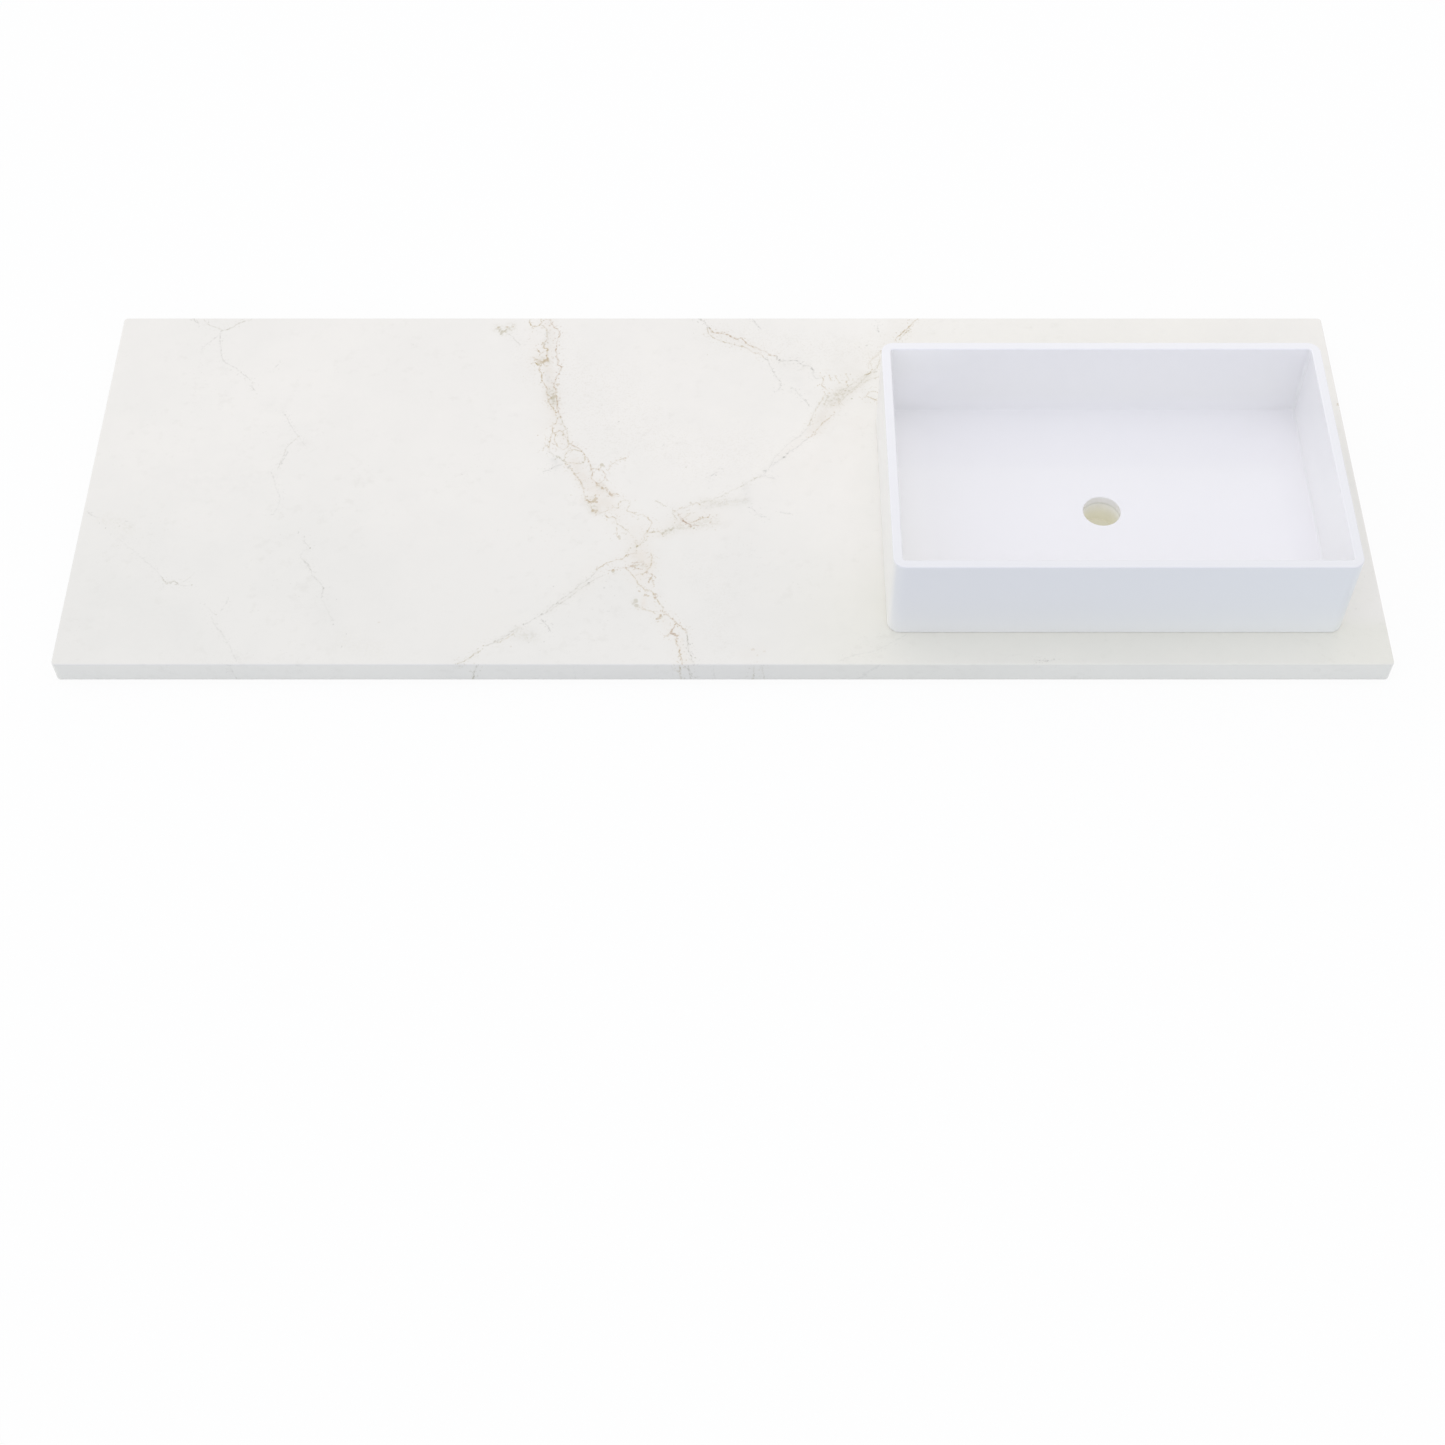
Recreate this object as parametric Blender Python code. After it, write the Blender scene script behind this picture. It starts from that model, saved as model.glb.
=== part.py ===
"""Vanity sink top: a polished stone slab with a rectangular vessel basin bedded near its right-hand end.

The slab, the basin and the two silicone beads that bed the basin on the slab are separate solids.
Units are metres, +Z is up. The origin is at the centre of the slab's plan, on its underside.
+X runs along the slab towards the basin's end, and +Y runs back to the wall.
"""

import math

import bmesh
import bpy
from mathutils import Vector

# Slab: 61 by 22 inches of 3 cm engineered stone
SLAB_LENGTH = 1.5494
SLAB_DEPTH = 0.5588
SLAB_THICKNESS = 0.030
SLAB_CORNER_RADIUS = 0.005
SLAB_ARRIS = 0.0015

# Basin: an open box with upright walls, standing on the slab on a foot ring
BASIN_LENGTH = 0.530
BASIN_DEPTH = 0.350
BASIN_HEIGHT = 0.120
BASIN_WALL = 0.011
BASIN_CORNER_RADIUS = 0.015
BASIN_RIM_ROUND = 0.0015
BASIN_FLOOR_TOP = 0.012
BASIN_FLOOR_FALL = 0.0008
BASIN_FLOOR_FILLET = 0.003
BASIN_FOOT_WIDTH = 0.014
BASIN_FOOT_EASE = 0.001
BASIN_UNDERCUT = 0.002
LEAST_PLAN_RADIUS = 0.001

# Where the basin stands on the slab, measured at its outer walls
BASIN_RIGHT_MARGIN = 0.053
BASIN_FRONT_MARGIN = 0.046

# Drain: one bore through the basin's floor and the slab, with a flat seat for a flange
DRAIN_BORE = 0.045
DRAIN_EDGE_ROUND = 0.001
DRAIN_SEAT_DIAMETER = 0.074
SLAB_BORE_ARRIS = 0.0012

# Silicone beads, squeezed flat between the basin's undercut and the slab
PERIMETER_BEAD_WIDTH = 0.008
DRAIN_BEAD_WIDTH = 0.012
DRAIN_BEAD_SETBACK = 0.002
SEAT_GAP = 0.0003

# Facets
CORNER_STEPS = 6
LONG_SIDE_STEPS = 8
SHORT_SIDE_STEPS = 6
ROUND_STEPS = 4
SLAB_BORE_STEPS = 56
BEAD_END_STEPS = 4
FLOOR_SHARES = (0.25, 0.5, 0.75)

QUARTER = math.pi / 2
SMOOTH_BELOW = math.radians(35)


def clear_scene():
    for obj in list(bpy.data.objects):
        bpy.data.objects.remove(obj, do_unlink=True)


def principled(name, colour, roughness, coat=0.0):
    """A dielectric material of one colour."""
    material = bpy.data.materials.new(name)
    material.use_nodes = True
    shader = material.node_tree.nodes["Principled BSDF"]
    shader.inputs["Base Color"].default_value = (*colour, 1.0)
    shader.inputs["Roughness"].default_value = roughness
    shader.inputs["Metallic"].default_value = 0.0
    shader.inputs["Coat Weight"].default_value = coat
    material.diffuse_color = (*colour, 1.0)
    return material


def quarter_round(across, height, radius, first_turn, last_turn, steps=ROUND_STEPS):
    """Points (across, height) of a round about a centre, between two angles given in quarter turns."""
    turns = [first_turn + (last_turn - first_turn) * step / steps for step in range(steps + 1)]
    return [
        (across + radius * math.cos(turn * QUARTER), height + radius * math.sin(turn * QUARTER))
        for turn in turns
    ]


def rectangle_ring(length, depth, radius, height, long_steps, short_steps):
    """A rounded rectangle about the origin, anticlockwise from the middle of its right-hand side.

    Each corner is an arc of CORNER_STEPS facets and each straight side is cut into equal steps."""
    radius = max(radius, LEAST_PLAN_RADIUS)
    half_x = length / 2 - radius
    half_y = depth / 2 - radius
    corners = ((half_x, half_y), (-half_x, half_y), (-half_x, -half_y), (half_x, -half_y))
    points = []
    for index, (x, y) in enumerate(corners):
        arc = quarter_round(x, y, radius, index, index + 1, CORNER_STEPS)
        steps = short_steps if index % 2 == 0 else long_steps
        if points:
            points += straight_between(points[-1], arc[0], steps)
        points += arc
    points += straight_between(points[-1], points[0], short_steps)
    return [Vector((x, y, height)) for x, y in points]


def straight_between(start, end, steps):
    """The points that divide a straight side, without its two ends."""
    return [
        tuple(a + (b - a) * step / steps for a, b in zip(start, end))
        for step in range(1, steps)
    ]


def circle_ring(radius, height, count, first_angle=0.0):
    """A circle about the origin, anticlockwise."""
    angles = [first_angle + 2 * math.pi * step / count for step in range(count)]
    return [Vector((radius * math.cos(a), radius * math.sin(a), height)) for a in angles]


def add_rings(mesh, rings):
    return [[mesh.verts.new(point) for point in ring] for ring in rings]


def join_rings(mesh, lower, upper):
    """A strip of four-sided faces between two rings with as many points each."""
    count = len(lower)
    for i in range(count):
        j = (i + 1) % count
        mesh.faces.new((lower[i], lower[j], upper[j], upper[i]))


def ring_edges(mesh, ring):
    return [mesh.edges.get((ring[i - 1], ring[i])) for i in range(len(ring))]


def finished_object(name, mesh, material, parent=None, location=(0.0, 0.0, 0.0)):
    """Turns the faces outwards, closes the mesh into an object and places it."""
    bmesh.ops.recalc_face_normals(mesh, faces=mesh.faces)
    data = bpy.data.meshes.new(name)
    mesh.to_mesh(data)
    mesh.free()
    data.shade_smooth()
    data.set_sharp_from_angle(angle=SMOOTH_BELOW)
    data.materials.append(material)
    obj = bpy.data.objects.new(name, data)
    bpy.context.scene.collection.objects.link(obj)
    obj.parent = parent
    obj.location = location
    return obj


def closed_loft(name, rings, material, parent=None, location=(0.0, 0.0, 0.0)):
    """A solid whose skin runs through every ring in turn and back from the last to the first."""
    mesh = bmesh.new()
    loops = add_rings(mesh, rings)
    for index, loop in enumerate(loops):
        join_rings(mesh, loop, loops[(index + 1) % len(loops)])
    return finished_object(name, mesh, material, parent, location)


def basin_centre():
    """The basin's centre in plan, from its margins to the slab's right and front edges."""
    x = SLAB_LENGTH / 2 - BASIN_RIGHT_MARGIN - BASIN_LENGTH / 2
    y = -SLAB_DEPTH / 2 + BASIN_FRONT_MARGIN + BASIN_DEPTH / 2
    return x, y


def slab_ring(inset, height):
    return rectangle_ring(
        SLAB_LENGTH - 2 * inset,
        SLAB_DEPTH - 2 * inset,
        SLAB_CORNER_RADIUS - inset,
        height,
        long_steps=1,
        short_steps=1,
    )


def make_slab(stone):
    """A flat slab with eased arrises, bored through under the basin.

    The edge profile and the bore profile each run from the underside to the top, and the two flat faces
    are filled between the outer ring and the bore's ring."""
    x, y = basin_centre()
    edge_profile = quarter_round(SLAB_ARRIS, SLAB_ARRIS, SLAB_ARRIS, -1, -2)
    edge_profile += quarter_round(SLAB_ARRIS, SLAB_THICKNESS - SLAB_ARRIS, SLAB_ARRIS, 2, 1)
    bore = DRAIN_BORE / 2
    eased = bore + SLAB_BORE_ARRIS
    bore_profile = quarter_round(eased, SLAB_BORE_ARRIS, SLAB_BORE_ARRIS, -1, -2)
    bore_profile += quarter_round(eased, SLAB_THICKNESS - SLAB_BORE_ARRIS, SLAB_BORE_ARRIS, 2, 1)
    outer = [slab_ring(inset, height) for inset, height in edge_profile]
    inner = [
        [point + Vector((x, y, 0.0)) for point in circle_ring(radius, height, SLAB_BORE_STEPS)]
        for radius, height in bore_profile
    ]
    mesh = bmesh.new()
    skins = [add_rings(mesh, outer), add_rings(mesh, inner)]
    for loops in skins:
        for lower, upper in zip(loops, loops[1:]):
            join_rings(mesh, lower, upper)
    for end in (0, -1):
        border = [edge for loops in skins for edge in ring_edges(mesh, loops[end])]
        bmesh.ops.triangle_fill(mesh, use_beauty=True, edges=border)
    return finished_object("countertop_slab", mesh, stone)


def basin_ring(inset, height):
    return rectangle_ring(
        BASIN_LENGTH - 2 * inset,
        BASIN_DEPTH - 2 * inset,
        BASIN_CORNER_RADIUS - inset,
        height,
        LONG_SIDE_STEPS,
        SHORT_SIDE_STEPS,
    )


def basin_circle(radius, height):
    """A circle with a point for each point of a basin ring, starting at the same place."""
    count = len(basin_ring(0.0, 0.0))
    # A ring starts at the lower end of the first corner's arc, half a short side above the X axis
    first_angle = 2 * math.pi * (SHORT_SIDE_STEPS / 2) / count
    return circle_ring(radius, height, count, first_angle)


def blended(ring, other, share):
    return [a.lerp(b, share) for a, b in zip(ring, other)]


def make_basin(ceramic, slab):
    """One lofted skin: foot, outer wall, rim, inner wall, floor, drain bore and undercut.

    The floor falls from the fillet at the walls to a level seat round the bore."""
    floor_edge = BASIN_FLOOR_TOP + BASIN_FLOOR_FALL
    outer_foot = quarter_round(BASIN_FOOT_EASE, BASIN_FOOT_EASE, BASIN_FOOT_EASE, -1, -2)
    rim_height = BASIN_HEIGHT - BASIN_RIM_ROUND
    outer_rim = quarter_round(BASIN_RIM_ROUND, rim_height, BASIN_RIM_ROUND, 2, 1)
    inner_rim = quarter_round(BASIN_WALL - BASIN_RIM_ROUND, rim_height, BASIN_RIM_ROUND, 1, 0)
    fillet_across = BASIN_WALL + BASIN_FLOOR_FILLET
    fillet_height = floor_edge + BASIN_FLOOR_FILLET
    fillet = quarter_round(fillet_across, fillet_height, BASIN_FLOOR_FILLET, 2, 3)
    profile = [(BASIN_FOOT_WIDTH, 0.0)] + outer_foot + outer_rim + inner_rim + fillet
    rings = [basin_ring(inset, height) for inset, height in profile]

    seat = basin_circle(DRAIN_SEAT_DIAMETER / 2, BASIN_FLOOR_TOP)
    wall_foot = rings[-1]
    rings += [blended(wall_foot, seat, share) for share in FLOOR_SHARES]
    rings.append(seat)

    bore = DRAIN_BORE / 2
    bore_edge = quarter_round(
        bore + DRAIN_EDGE_ROUND, BASIN_FLOOR_TOP - DRAIN_EDGE_ROUND, DRAIN_EDGE_ROUND, 1, 2
    )
    rings += [basin_circle(radius, height) for radius, height in bore_edge]
    rings.append(basin_circle(bore, BASIN_UNDERCUT))
    rings.append(basin_ring(BASIN_FOOT_WIDTH, BASIN_UNDERCUT))
    place = (*basin_centre(), SLAB_THICKNESS + SEAT_GAP)
    return closed_loft("vessel_basin", rings, ceramic, slab, place)


def bead_section(width):
    """Half-round ends on a flat strip that fills the undercut, as (across, height) about the strip's middle."""
    radius = (BASIN_UNDERCUT - SEAT_GAP) / 2
    middle = radius
    flat = width / 2 - radius
    inner_end = quarter_round(flat, middle, radius, -1, 1, BEAD_END_STEPS)
    outer_end = quarter_round(-flat, middle, radius, 1, 3, BEAD_END_STEPS)
    return inner_end + outer_end


def make_perimeter_bead(silicone, basin):
    """The bead that runs round inside the foot ring."""
    middle = BASIN_FOOT_WIDTH + SEAT_GAP + PERIMETER_BEAD_WIDTH / 2
    rings = [
        rectangle_ring(
            BASIN_LENGTH - 2 * (middle + across),
            BASIN_DEPTH - 2 * (middle + across),
            PERIMETER_BEAD_WIDTH - across,
            height,
            LONG_SIDE_STEPS,
            SHORT_SIDE_STEPS,
        )
        for across, height in bead_section(PERIMETER_BEAD_WIDTH)
    ]
    return closed_loft("perimeter_bead", rings, silicone, basin)


def make_drain_bead(silicone, basin):
    """The ring that seals the joint round the drain bore, set back so that none shows in the bore."""
    middle = DRAIN_BORE / 2 + DRAIN_BEAD_SETBACK + DRAIN_BEAD_WIDTH / 2
    rings = [
        circle_ring(middle + across, height, SLAB_BORE_STEPS)
        for across, height in bead_section(DRAIN_BEAD_WIDTH)
    ]
    return closed_loft("drain_bead", rings, silicone, basin)


def main():
    clear_scene()
    stone = principled("polished_stone", (0.83, 0.82, 0.79), 0.12, coat=0.3)
    ceramic = principled("glazed_ceramic", (0.86, 0.86, 0.90), 0.08, coat=0.5)
    silicone = principled("silicone", (0.80, 0.80, 0.78), 0.45)
    slab = make_slab(stone)
    basin = make_basin(ceramic, slab)
    make_perimeter_bead(silicone, basin)
    make_drain_bead(silicone, basin)


main()
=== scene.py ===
"""Looks of the vanity sink top: its finished surfaces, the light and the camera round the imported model.

The stone slab, the glazed basin and the ring of silicone round the drain are worked out here as fine
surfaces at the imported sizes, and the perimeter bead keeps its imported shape. Units are metres, +Z is up, +X
runs along the slab towards the basin's end, and +Y runs back to the wall. The slab lies on its underside at
the height zero.
"""

import math

import bmesh
import bpy
import numpy as np
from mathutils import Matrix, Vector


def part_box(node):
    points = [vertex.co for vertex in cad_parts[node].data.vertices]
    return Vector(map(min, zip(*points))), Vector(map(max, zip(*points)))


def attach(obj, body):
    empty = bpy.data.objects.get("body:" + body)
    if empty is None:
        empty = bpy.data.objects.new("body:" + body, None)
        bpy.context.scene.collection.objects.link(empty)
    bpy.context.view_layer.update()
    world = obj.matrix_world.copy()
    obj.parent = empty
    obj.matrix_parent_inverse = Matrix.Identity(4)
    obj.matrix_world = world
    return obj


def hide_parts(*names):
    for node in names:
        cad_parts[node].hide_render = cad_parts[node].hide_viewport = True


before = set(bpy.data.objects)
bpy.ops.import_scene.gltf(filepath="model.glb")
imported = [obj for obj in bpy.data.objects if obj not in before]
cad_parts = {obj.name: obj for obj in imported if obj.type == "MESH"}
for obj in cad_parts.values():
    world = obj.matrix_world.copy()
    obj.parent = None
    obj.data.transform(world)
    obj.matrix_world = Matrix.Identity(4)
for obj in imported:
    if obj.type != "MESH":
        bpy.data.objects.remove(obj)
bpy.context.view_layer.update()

MILLIMETRE = 0.001
QUARTER = math.pi / 2

# Slab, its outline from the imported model
SLAB_LOW, SLAB_HIGH = (np.array(corner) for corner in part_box("countertop_slab"))
SLAB_HALF = (SLAB_HIGH - SLAB_LOW)[:2] / 2
SLAB_TOP = SLAB_HIGH[2]
SLAB_CORNER_RADIUS = 0.005
SLAB_ARRIS = 0.0015
SLAB_BORE_ARRIS = 0.0012

# Basin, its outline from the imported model
BASIN_LOW, BASIN_HIGH = (np.array(corner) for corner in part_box("vessel_basin"))
BASIN_CENTRE = (BASIN_LOW + BASIN_HIGH)[:2] / 2
BASIN_SIZE = BASIN_HIGH - BASIN_LOW
BASIN_LEFT, BASIN_FRONT, BASIN_FOOT = BASIN_LOW
BASIN_RIGHT, BASIN_BACK, BASIN_TOP = BASIN_HIGH
BASIN_WALL = 0.011
BASIN_CORNER_RADIUS = 0.015
BASIN_RIM_ROUND = 0.0015
BASIN_FLOOR_TOP = 0.012
BASIN_FLOOR_FALL = 0.0008
BASIN_FLOOR_FILLET = 0.003
BASIN_FOOT_WIDTH = 0.014
BASIN_FOOT_EASE = 0.001
BASIN_UNDERCUT = 0.002
DRAIN_BORE = 0.045
DRAIN_EDGE_ROUND = 0.001
DRAIN_SEAT_DIAMETER = 0.074
LEAST_PLAN_RADIUS = 0.001
JOINT_GAP = 0.0002
BEAD_TURN_STEPS = 72

# Fineness of the surfaces. A support ring lies close beside each round, so that the flats shade flat
SHARP_FROM = math.radians(40)
ROUND_STEPS = 6
CORNER_STEPS = 20
SIDE_SHARES = (0.002, 0.12, 0.25, 0.375, 0.5, 0.625, 0.75, 0.88, 0.998)
FLOOR_SHARES = (0.02, 0.12, 0.25, 0.4, 0.55, 0.7, 0.85, 0.97)
SUPPORT = 0.0003
VEIN_COLUMN = 0.0025
PLAIN_COLUMN = 0.0043
BARE_COLUMN = 0.009
BORE_COLUMN = 0.006
SLAB_ROW = 0.0028
EDGE_ROWS = 4
VEINED_FROM = -0.325
VEINED_TO = 0.215
BORE_PATCH_HALF = 0.036
BORE_PATCH_RINGS = 4

# The slab is sawn below this height, and so many of the basin's first and last rings are bare clay
SAWN_BELOW = 0.001
BARE_RINGS = 2

# Camera, fitted to the photograph's edges
CAMERA_PLACE = (-0.0002, -1.8228, 2.1087)
CAMERA_TILT = math.radians(35.114)
CAMERA_LENS = 55.959
CAMERA_SENSOR = 36.0
PHOTO_SIZE = 1445
PHOTO_MIDDLE = (PHOTO_SIZE - 1) / 2

# Strands: the stone's hairlines, each as (tone from grey 0 to rust 1, strength, half width in millimetres,
# route in the photograph's columns and rows)
STRANDS = {
    "right_strand": (
        (0.8, 0.85, 0.8, (
            (549.8, 318.2), (550.3, 322), (553.3, 326.3), (558.5, 331), (559.3, 334), (558.3, 336.5),
            (556.9, 339.6), (555.9, 342.7), (556.2, 346.3), (555.6, 350), (556.4, 353.4), (555.9, 357),
            (558.3, 359.6), (557.2, 362.2), (555.9, 364.2), (560.5, 365.8), (559.8, 370.4), (556.9, 374.5),
            (555.4, 377.6), (555.2, 381), (553.6, 384.2), (554.9, 388.3), (555.4, 393.4), (556.9, 402.7),
            (556.4, 406.8), (558, 411), (559.5, 416.5))),
        (0.5, 0.65, 0.9, (
            (559.5, 416.5), (561.6, 421), (564.6, 427.3), (566.7, 431.4), (567.5, 438), (568.7, 443.2))),
        (0.75, 0.75, 0.8, (
            (568.7, 443.2), (575.8, 446.7), (580.2, 449), (582.9, 453.5), (586.7, 457.8), (588.9, 462.7),
            (591.1, 468.2), (591.8, 474.2), (591.1, 476.9))),
        (0.7, 0.58, 1.1, (
            (591.1, 476.9), (593.8, 481.3), (596, 482.9), (597, 485), (600.3, 486.2), (603, 488.3),
            (606.3, 487.3), (606.9, 491.6), (610, 494.3), (612.9, 494.9), (615, 492.7), (619.4, 495.4))),
        (0.6, 0.3, 0.6, ((619.4, 495.4), (622, 497.5), (625, 500))),
    ),
    "left_strand": (
        (0.6, 0.9, 0.8, ((540, 318.2), (541, 322), (539, 325), (532.3, 325.8), (529.2, 322))),
        (0.55, 0.55, 0.9, ((541, 324.7), (545, 327.3), (546.7, 331), (546.2, 335), (548, 337.6))),
        (0.62, 1, 0.9, (
            (547, 338), (545, 341), (542, 342.7), (543.6, 344.7), (543, 347.3), (547.7, 348.8),
            (546.5, 352), (546.2, 354.5), (546.7, 359))),
        (0.7, 0.85, 0.8, ((536.4, 348.3), (538, 351), (541, 353), (543, 351))),
        (0.64, 0.5, 1.5, (
            (533.3, 357.6), (538, 359), (541, 362), (543.6, 360.6), (546.7, 359), (548, 361.5))),
        (0.55, 1.2, 1, ((541, 365), (537.5, 364), (533.9, 362.2))),
        (0.65, 0.95, 0.8, (
            (543.6, 360.6), (540, 365), (538.5, 370), (541, 372.4), (541.3, 379), (546.2, 387.3),
            (547.2, 390.4), (546.2, 393.4), (550.3, 397), (547.2, 400.6), (550.8, 404.7), (552.8, 408.3),
            (556, 412))),
        (0.65, 0.95, 0.7, (
            (558, 416.5), (555.9, 420), (555.9, 422.7), (552.8, 424.2), (551.8, 427.8), (552, 432.4),
            (550.3, 437), (549.2, 443.7), (548, 449.7))),
        (0.52, 0.33, 1, ((546.9, 443.7), (544.5, 446.5), (542.6, 449.7))),
        (0.4, 1.1, 1.1, ((549.7, 451.3), (554, 455), (558.4, 456.2), (562.2, 460), (564.9, 461.4))),
        (0.66, 0.7, 0.9, (
            (564.9, 461.4), (566, 465), (571.5, 469.8), (574.2, 474.2), (577.5, 477), (580.2, 481.8),
            (582.9, 488.3), (584, 493.8), (585.6, 498.7), (589.4, 501.4), (593.8, 500.9))),
        (0.62, 0.46, 0.9, (
            (589.4, 503), (590.5, 507), (592.7, 510), (596.5, 513.4), (601.4, 511.8), (605.8, 510.7),
            (610, 509), (611.8, 507), (616.7, 507.4))),
        (0.6, 0.95, 0.8, ((604.7, 514), (607.4, 516.7), (611.2, 516.7), (614.5, 517.2))),
        (0.5, 0.6, 0.6, ((614.5, 517.2), (616.7, 523.2), (622, 526.5), (627.6, 531.4))),
        (0.6, 0.47, 0.8, ((616, 527.6), (616.7, 532), (616.7, 536.3), (620, 538.5))),
        (0.15, 0.6, 0.9, ((562, 463.8), (555.6, 465.5), (549, 469.3), (542.6, 471))),
        (0.25, 0.28, 0.8, ((508, 333.5), (513, 337), (516, 341), (520, 344.5))),
    ),
    "cells": (
        (0.6, 0.8, 0.7, (
            (554.9, 433.4), (560, 430), (564.6, 436), (568.2, 443.7), (563.6, 448.8), (557.4, 446),
            (554.4, 439.6), (554.9, 433.4))),
        (0.55, 0.75, 0.7, (
            (565.5, 453), (568, 450.2), (574, 449), (580, 450.5), (584, 455), (584, 460.6), (580, 463),
            (576.4, 463), (569.8, 462.2), (564.9, 461.4), (563.8, 457), (565.5, 453))),
        (0.75, 0.8, 0.8, (
            (591, 468), (593.8, 468.2), (600.9, 469.3), (604.1, 473), (604.7, 476.4), (602, 481),
            (597, 483))),
        (0.7, 0.45, 0.8, ((604.7, 476.4), (606, 479), (608, 480.7))),
        (0.65, 0.6, 0.7, ((608, 469.8), (610, 465), (614.5, 461.6), (620, 459), (626, 457.3))),
        (0.55, 0.55, 0.7, (
            (618.9, 508), (617.5, 504), (620, 501), (625, 500), (629.8, 501.4), (628.5, 505),
            (626.5, 510))),
        (0.6, 0.62, 0.8, (
            (626.5, 510), (631.4, 512.3), (636.3, 514), (640.7, 514), (645, 515.6), (648.8, 519),
            (651.3, 523.2), (647.7, 529.2), (643.9, 534.7), (643.4, 539.6), (640, 543.4), (636.8, 545.6),
            (634, 541.7))),
        (0.45, 0.4, 0.7, ((655.4, 500.3), (660.3, 503), (665.7, 505.8))),
    ),
    "crossing": (
        (0.5, 0.2, 0.9, ((636.8, 545.6), (635.5, 549), (636, 552.7))),
        (0.6, 0.6, 1, (
            (650.3, 553.2), (651.6, 560.3), (650.6, 565), (648.6, 567.7), (646, 571), (643.9, 572.4),
            (641.3, 575))),
        (0.75, 0.9, 0.9, ((649.9, 573.2), (652.4, 575.3), (650.3, 577.5), (647.7, 581))),
        (0.6, 0.6, 0.8, ((652, 578), (652.4, 582), (652.8, 585))),
        (0.85, 0.45, 1.1, (
            (625, 566.8), (628, 567.5), (631, 566), (633, 563.4), (637, 562), (643, 562), (642, 565))),
        (0.8, 1, 0.9, ((633.6, 569), (636, 568.2), (638.8, 568))),
    ),
    "lower_strand": (
        (0.6, 0.62, 0.8, (
            (625, 566.8), (627.7, 569.4), (630.2, 572.8), (634.5, 577), (637, 582.2), (640.5, 586),
            (643.9, 588.6), (647.3, 590), (651, 591), (654, 594), (653.3, 596.3), (655.8, 598.4),
            (658.4, 601.8), (661, 605.2), (662.2, 607.8), (662.2, 610.3))),
        (0.72, 0.85, 1.3, (
            (662.2, 610.3), (665.2, 613.3), (668.6, 615.5), (671.2, 618), (673.8, 620.6), (678, 624),
            (681.9, 627.4), (685.7, 630.8), (686.7, 632.5))),
        (0.25, 0.8, 0.8, (
            (686.7, 632.5), (687, 637.6), (687.2, 643.6), (687.8, 649.6), (690.4, 654.7), (691.7, 659.8),
            (693, 662), (694, 664))),
        (0.6, 0.45, 0.8, ((636, 605), (640.5, 608.2), (647.3, 610), (651.6, 611.2), (655.8, 613))),
        (0.6, 0.6, 0.9, ((660.5, 614.6), (656.7, 618.4), (662, 617), (660.5, 614.6))),
        (0.85, 0.85, 1, (
            (674.6, 624), (672.9, 627.4), (670.8, 630.8), (669.5, 633.8), (672, 633.4), (678, 635.9))),
        (0.7, 0.5, 0.7, ((663.5, 635), (666, 635), (669.5, 633.8))),
        (0.7, 0.9, 0.8, (
            (675, 638), (676.3, 641.5), (677.2, 644.5), (679.7, 648.3), (678.9, 651.3), (680.6, 656.4),
            (681.4, 659.8), (681.5, 664))),
    ),
    "hook": (
        (0.6, 0.64, 0.9, ((643.9, 534.7), (648.8, 532), (656.5, 531.4), (659.2, 531.4), (663.5, 534))),
        (0.42, 0.22, 1.6, ((662, 532), (666, 530.5), (670, 529.2), (673.4, 528), (681, 527))),
        (0.95, 0.93, 1.1, (
            (680, 515.5), (682.8, 520.2), (686.4, 522.7), (690.8, 524.3), (695, 524.9), (698, 524.5))),
        (0.5, 0.5, 0.8, ((672.4, 510), (675.5, 511.8), (677.5, 513), (679, 517), (682.8, 520.2))),
        (0.5, 0.75, 0.7, ((672, 512), (674.5, 517), (677, 520))),
        (0.55, 0.56, 0.8, (
            (675.5, 511.8), (678, 508.5), (684, 507.4), (691, 504), (697.5, 502.5), (700, 505.8))),
        (0.6, 0.54, 0.7, ((683, 518), (686, 516), (690, 512.5))),
        (0.72, 1, 0.9, ((691, 522), (696, 520), (699.2, 518.8), (703, 517.3), (708, 516.7))),
    ),
    "rising_pair": (
        (0.42, 0.38, 0.8, (
            (700, 502), (706.5, 500.5), (710, 500), (716, 498), (722.2, 495), (731.4, 489.7),
            (740.6, 486), (749.7, 480.6), (756, 477), (761, 476))),
        (0.15, 0.24, 0.8, (
            (761, 476), (764, 474), (766, 471), (769.8, 465.7), (774, 457), (779, 452.5), (785, 446),
            (790, 441.5), (797, 437), (802, 434), (806, 428.5), (809, 426), (810.5, 421), (812.6, 414),
            (816, 407), (819, 402.6))),
        (0.1, 0.35, 0.9, (
            (772.6, 465), (777, 461), (782, 458), (783.8, 457.3), (788, 452), (799.3, 444.7), (802, 442),
            (809, 436.3))),
        (0.8, 0.6, 1, ((809, 436.3), (813.3, 434.5), (816, 433))),
        (0.6, 0.5, 0.8, (
            (813.3, 434), (817, 428), (820.3, 425), (823, 421), (829, 417), (833, 414.5))),
        (0.05, 0.42, 0.7, ((761, 476), (769, 477), (773, 478))),
        (0.2, 0.22, 0.8, ((705, 508), (712, 504), (720.7, 502.7), (733, 499.7), (746.7, 498))),
        (0.05, 0.45, 0.7, ((749.7, 507), (755, 510.7), (758, 514), (765, 517))),
        (0.1, 0.62, 1.1, ((710.5, 475.3), (714, 473), (718, 471.3))),
        (0, 0.23, 1.6, ((780, 511.5), (787, 513), (793, 513))),
    ),
    "knot": (
        (0.42, 0.58, 1, (
            (838, 389.5), (845, 388.3), (850, 384.5), (856, 380), (862, 376), (866, 374), (871, 371.5),
            (875, 371))),
        (0.5, 0.4, 0.8, (
            (838, 404), (845, 396), (851, 391), (858, 386.5), (866, 380.5), (874, 377.5), (880, 376))),
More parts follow.
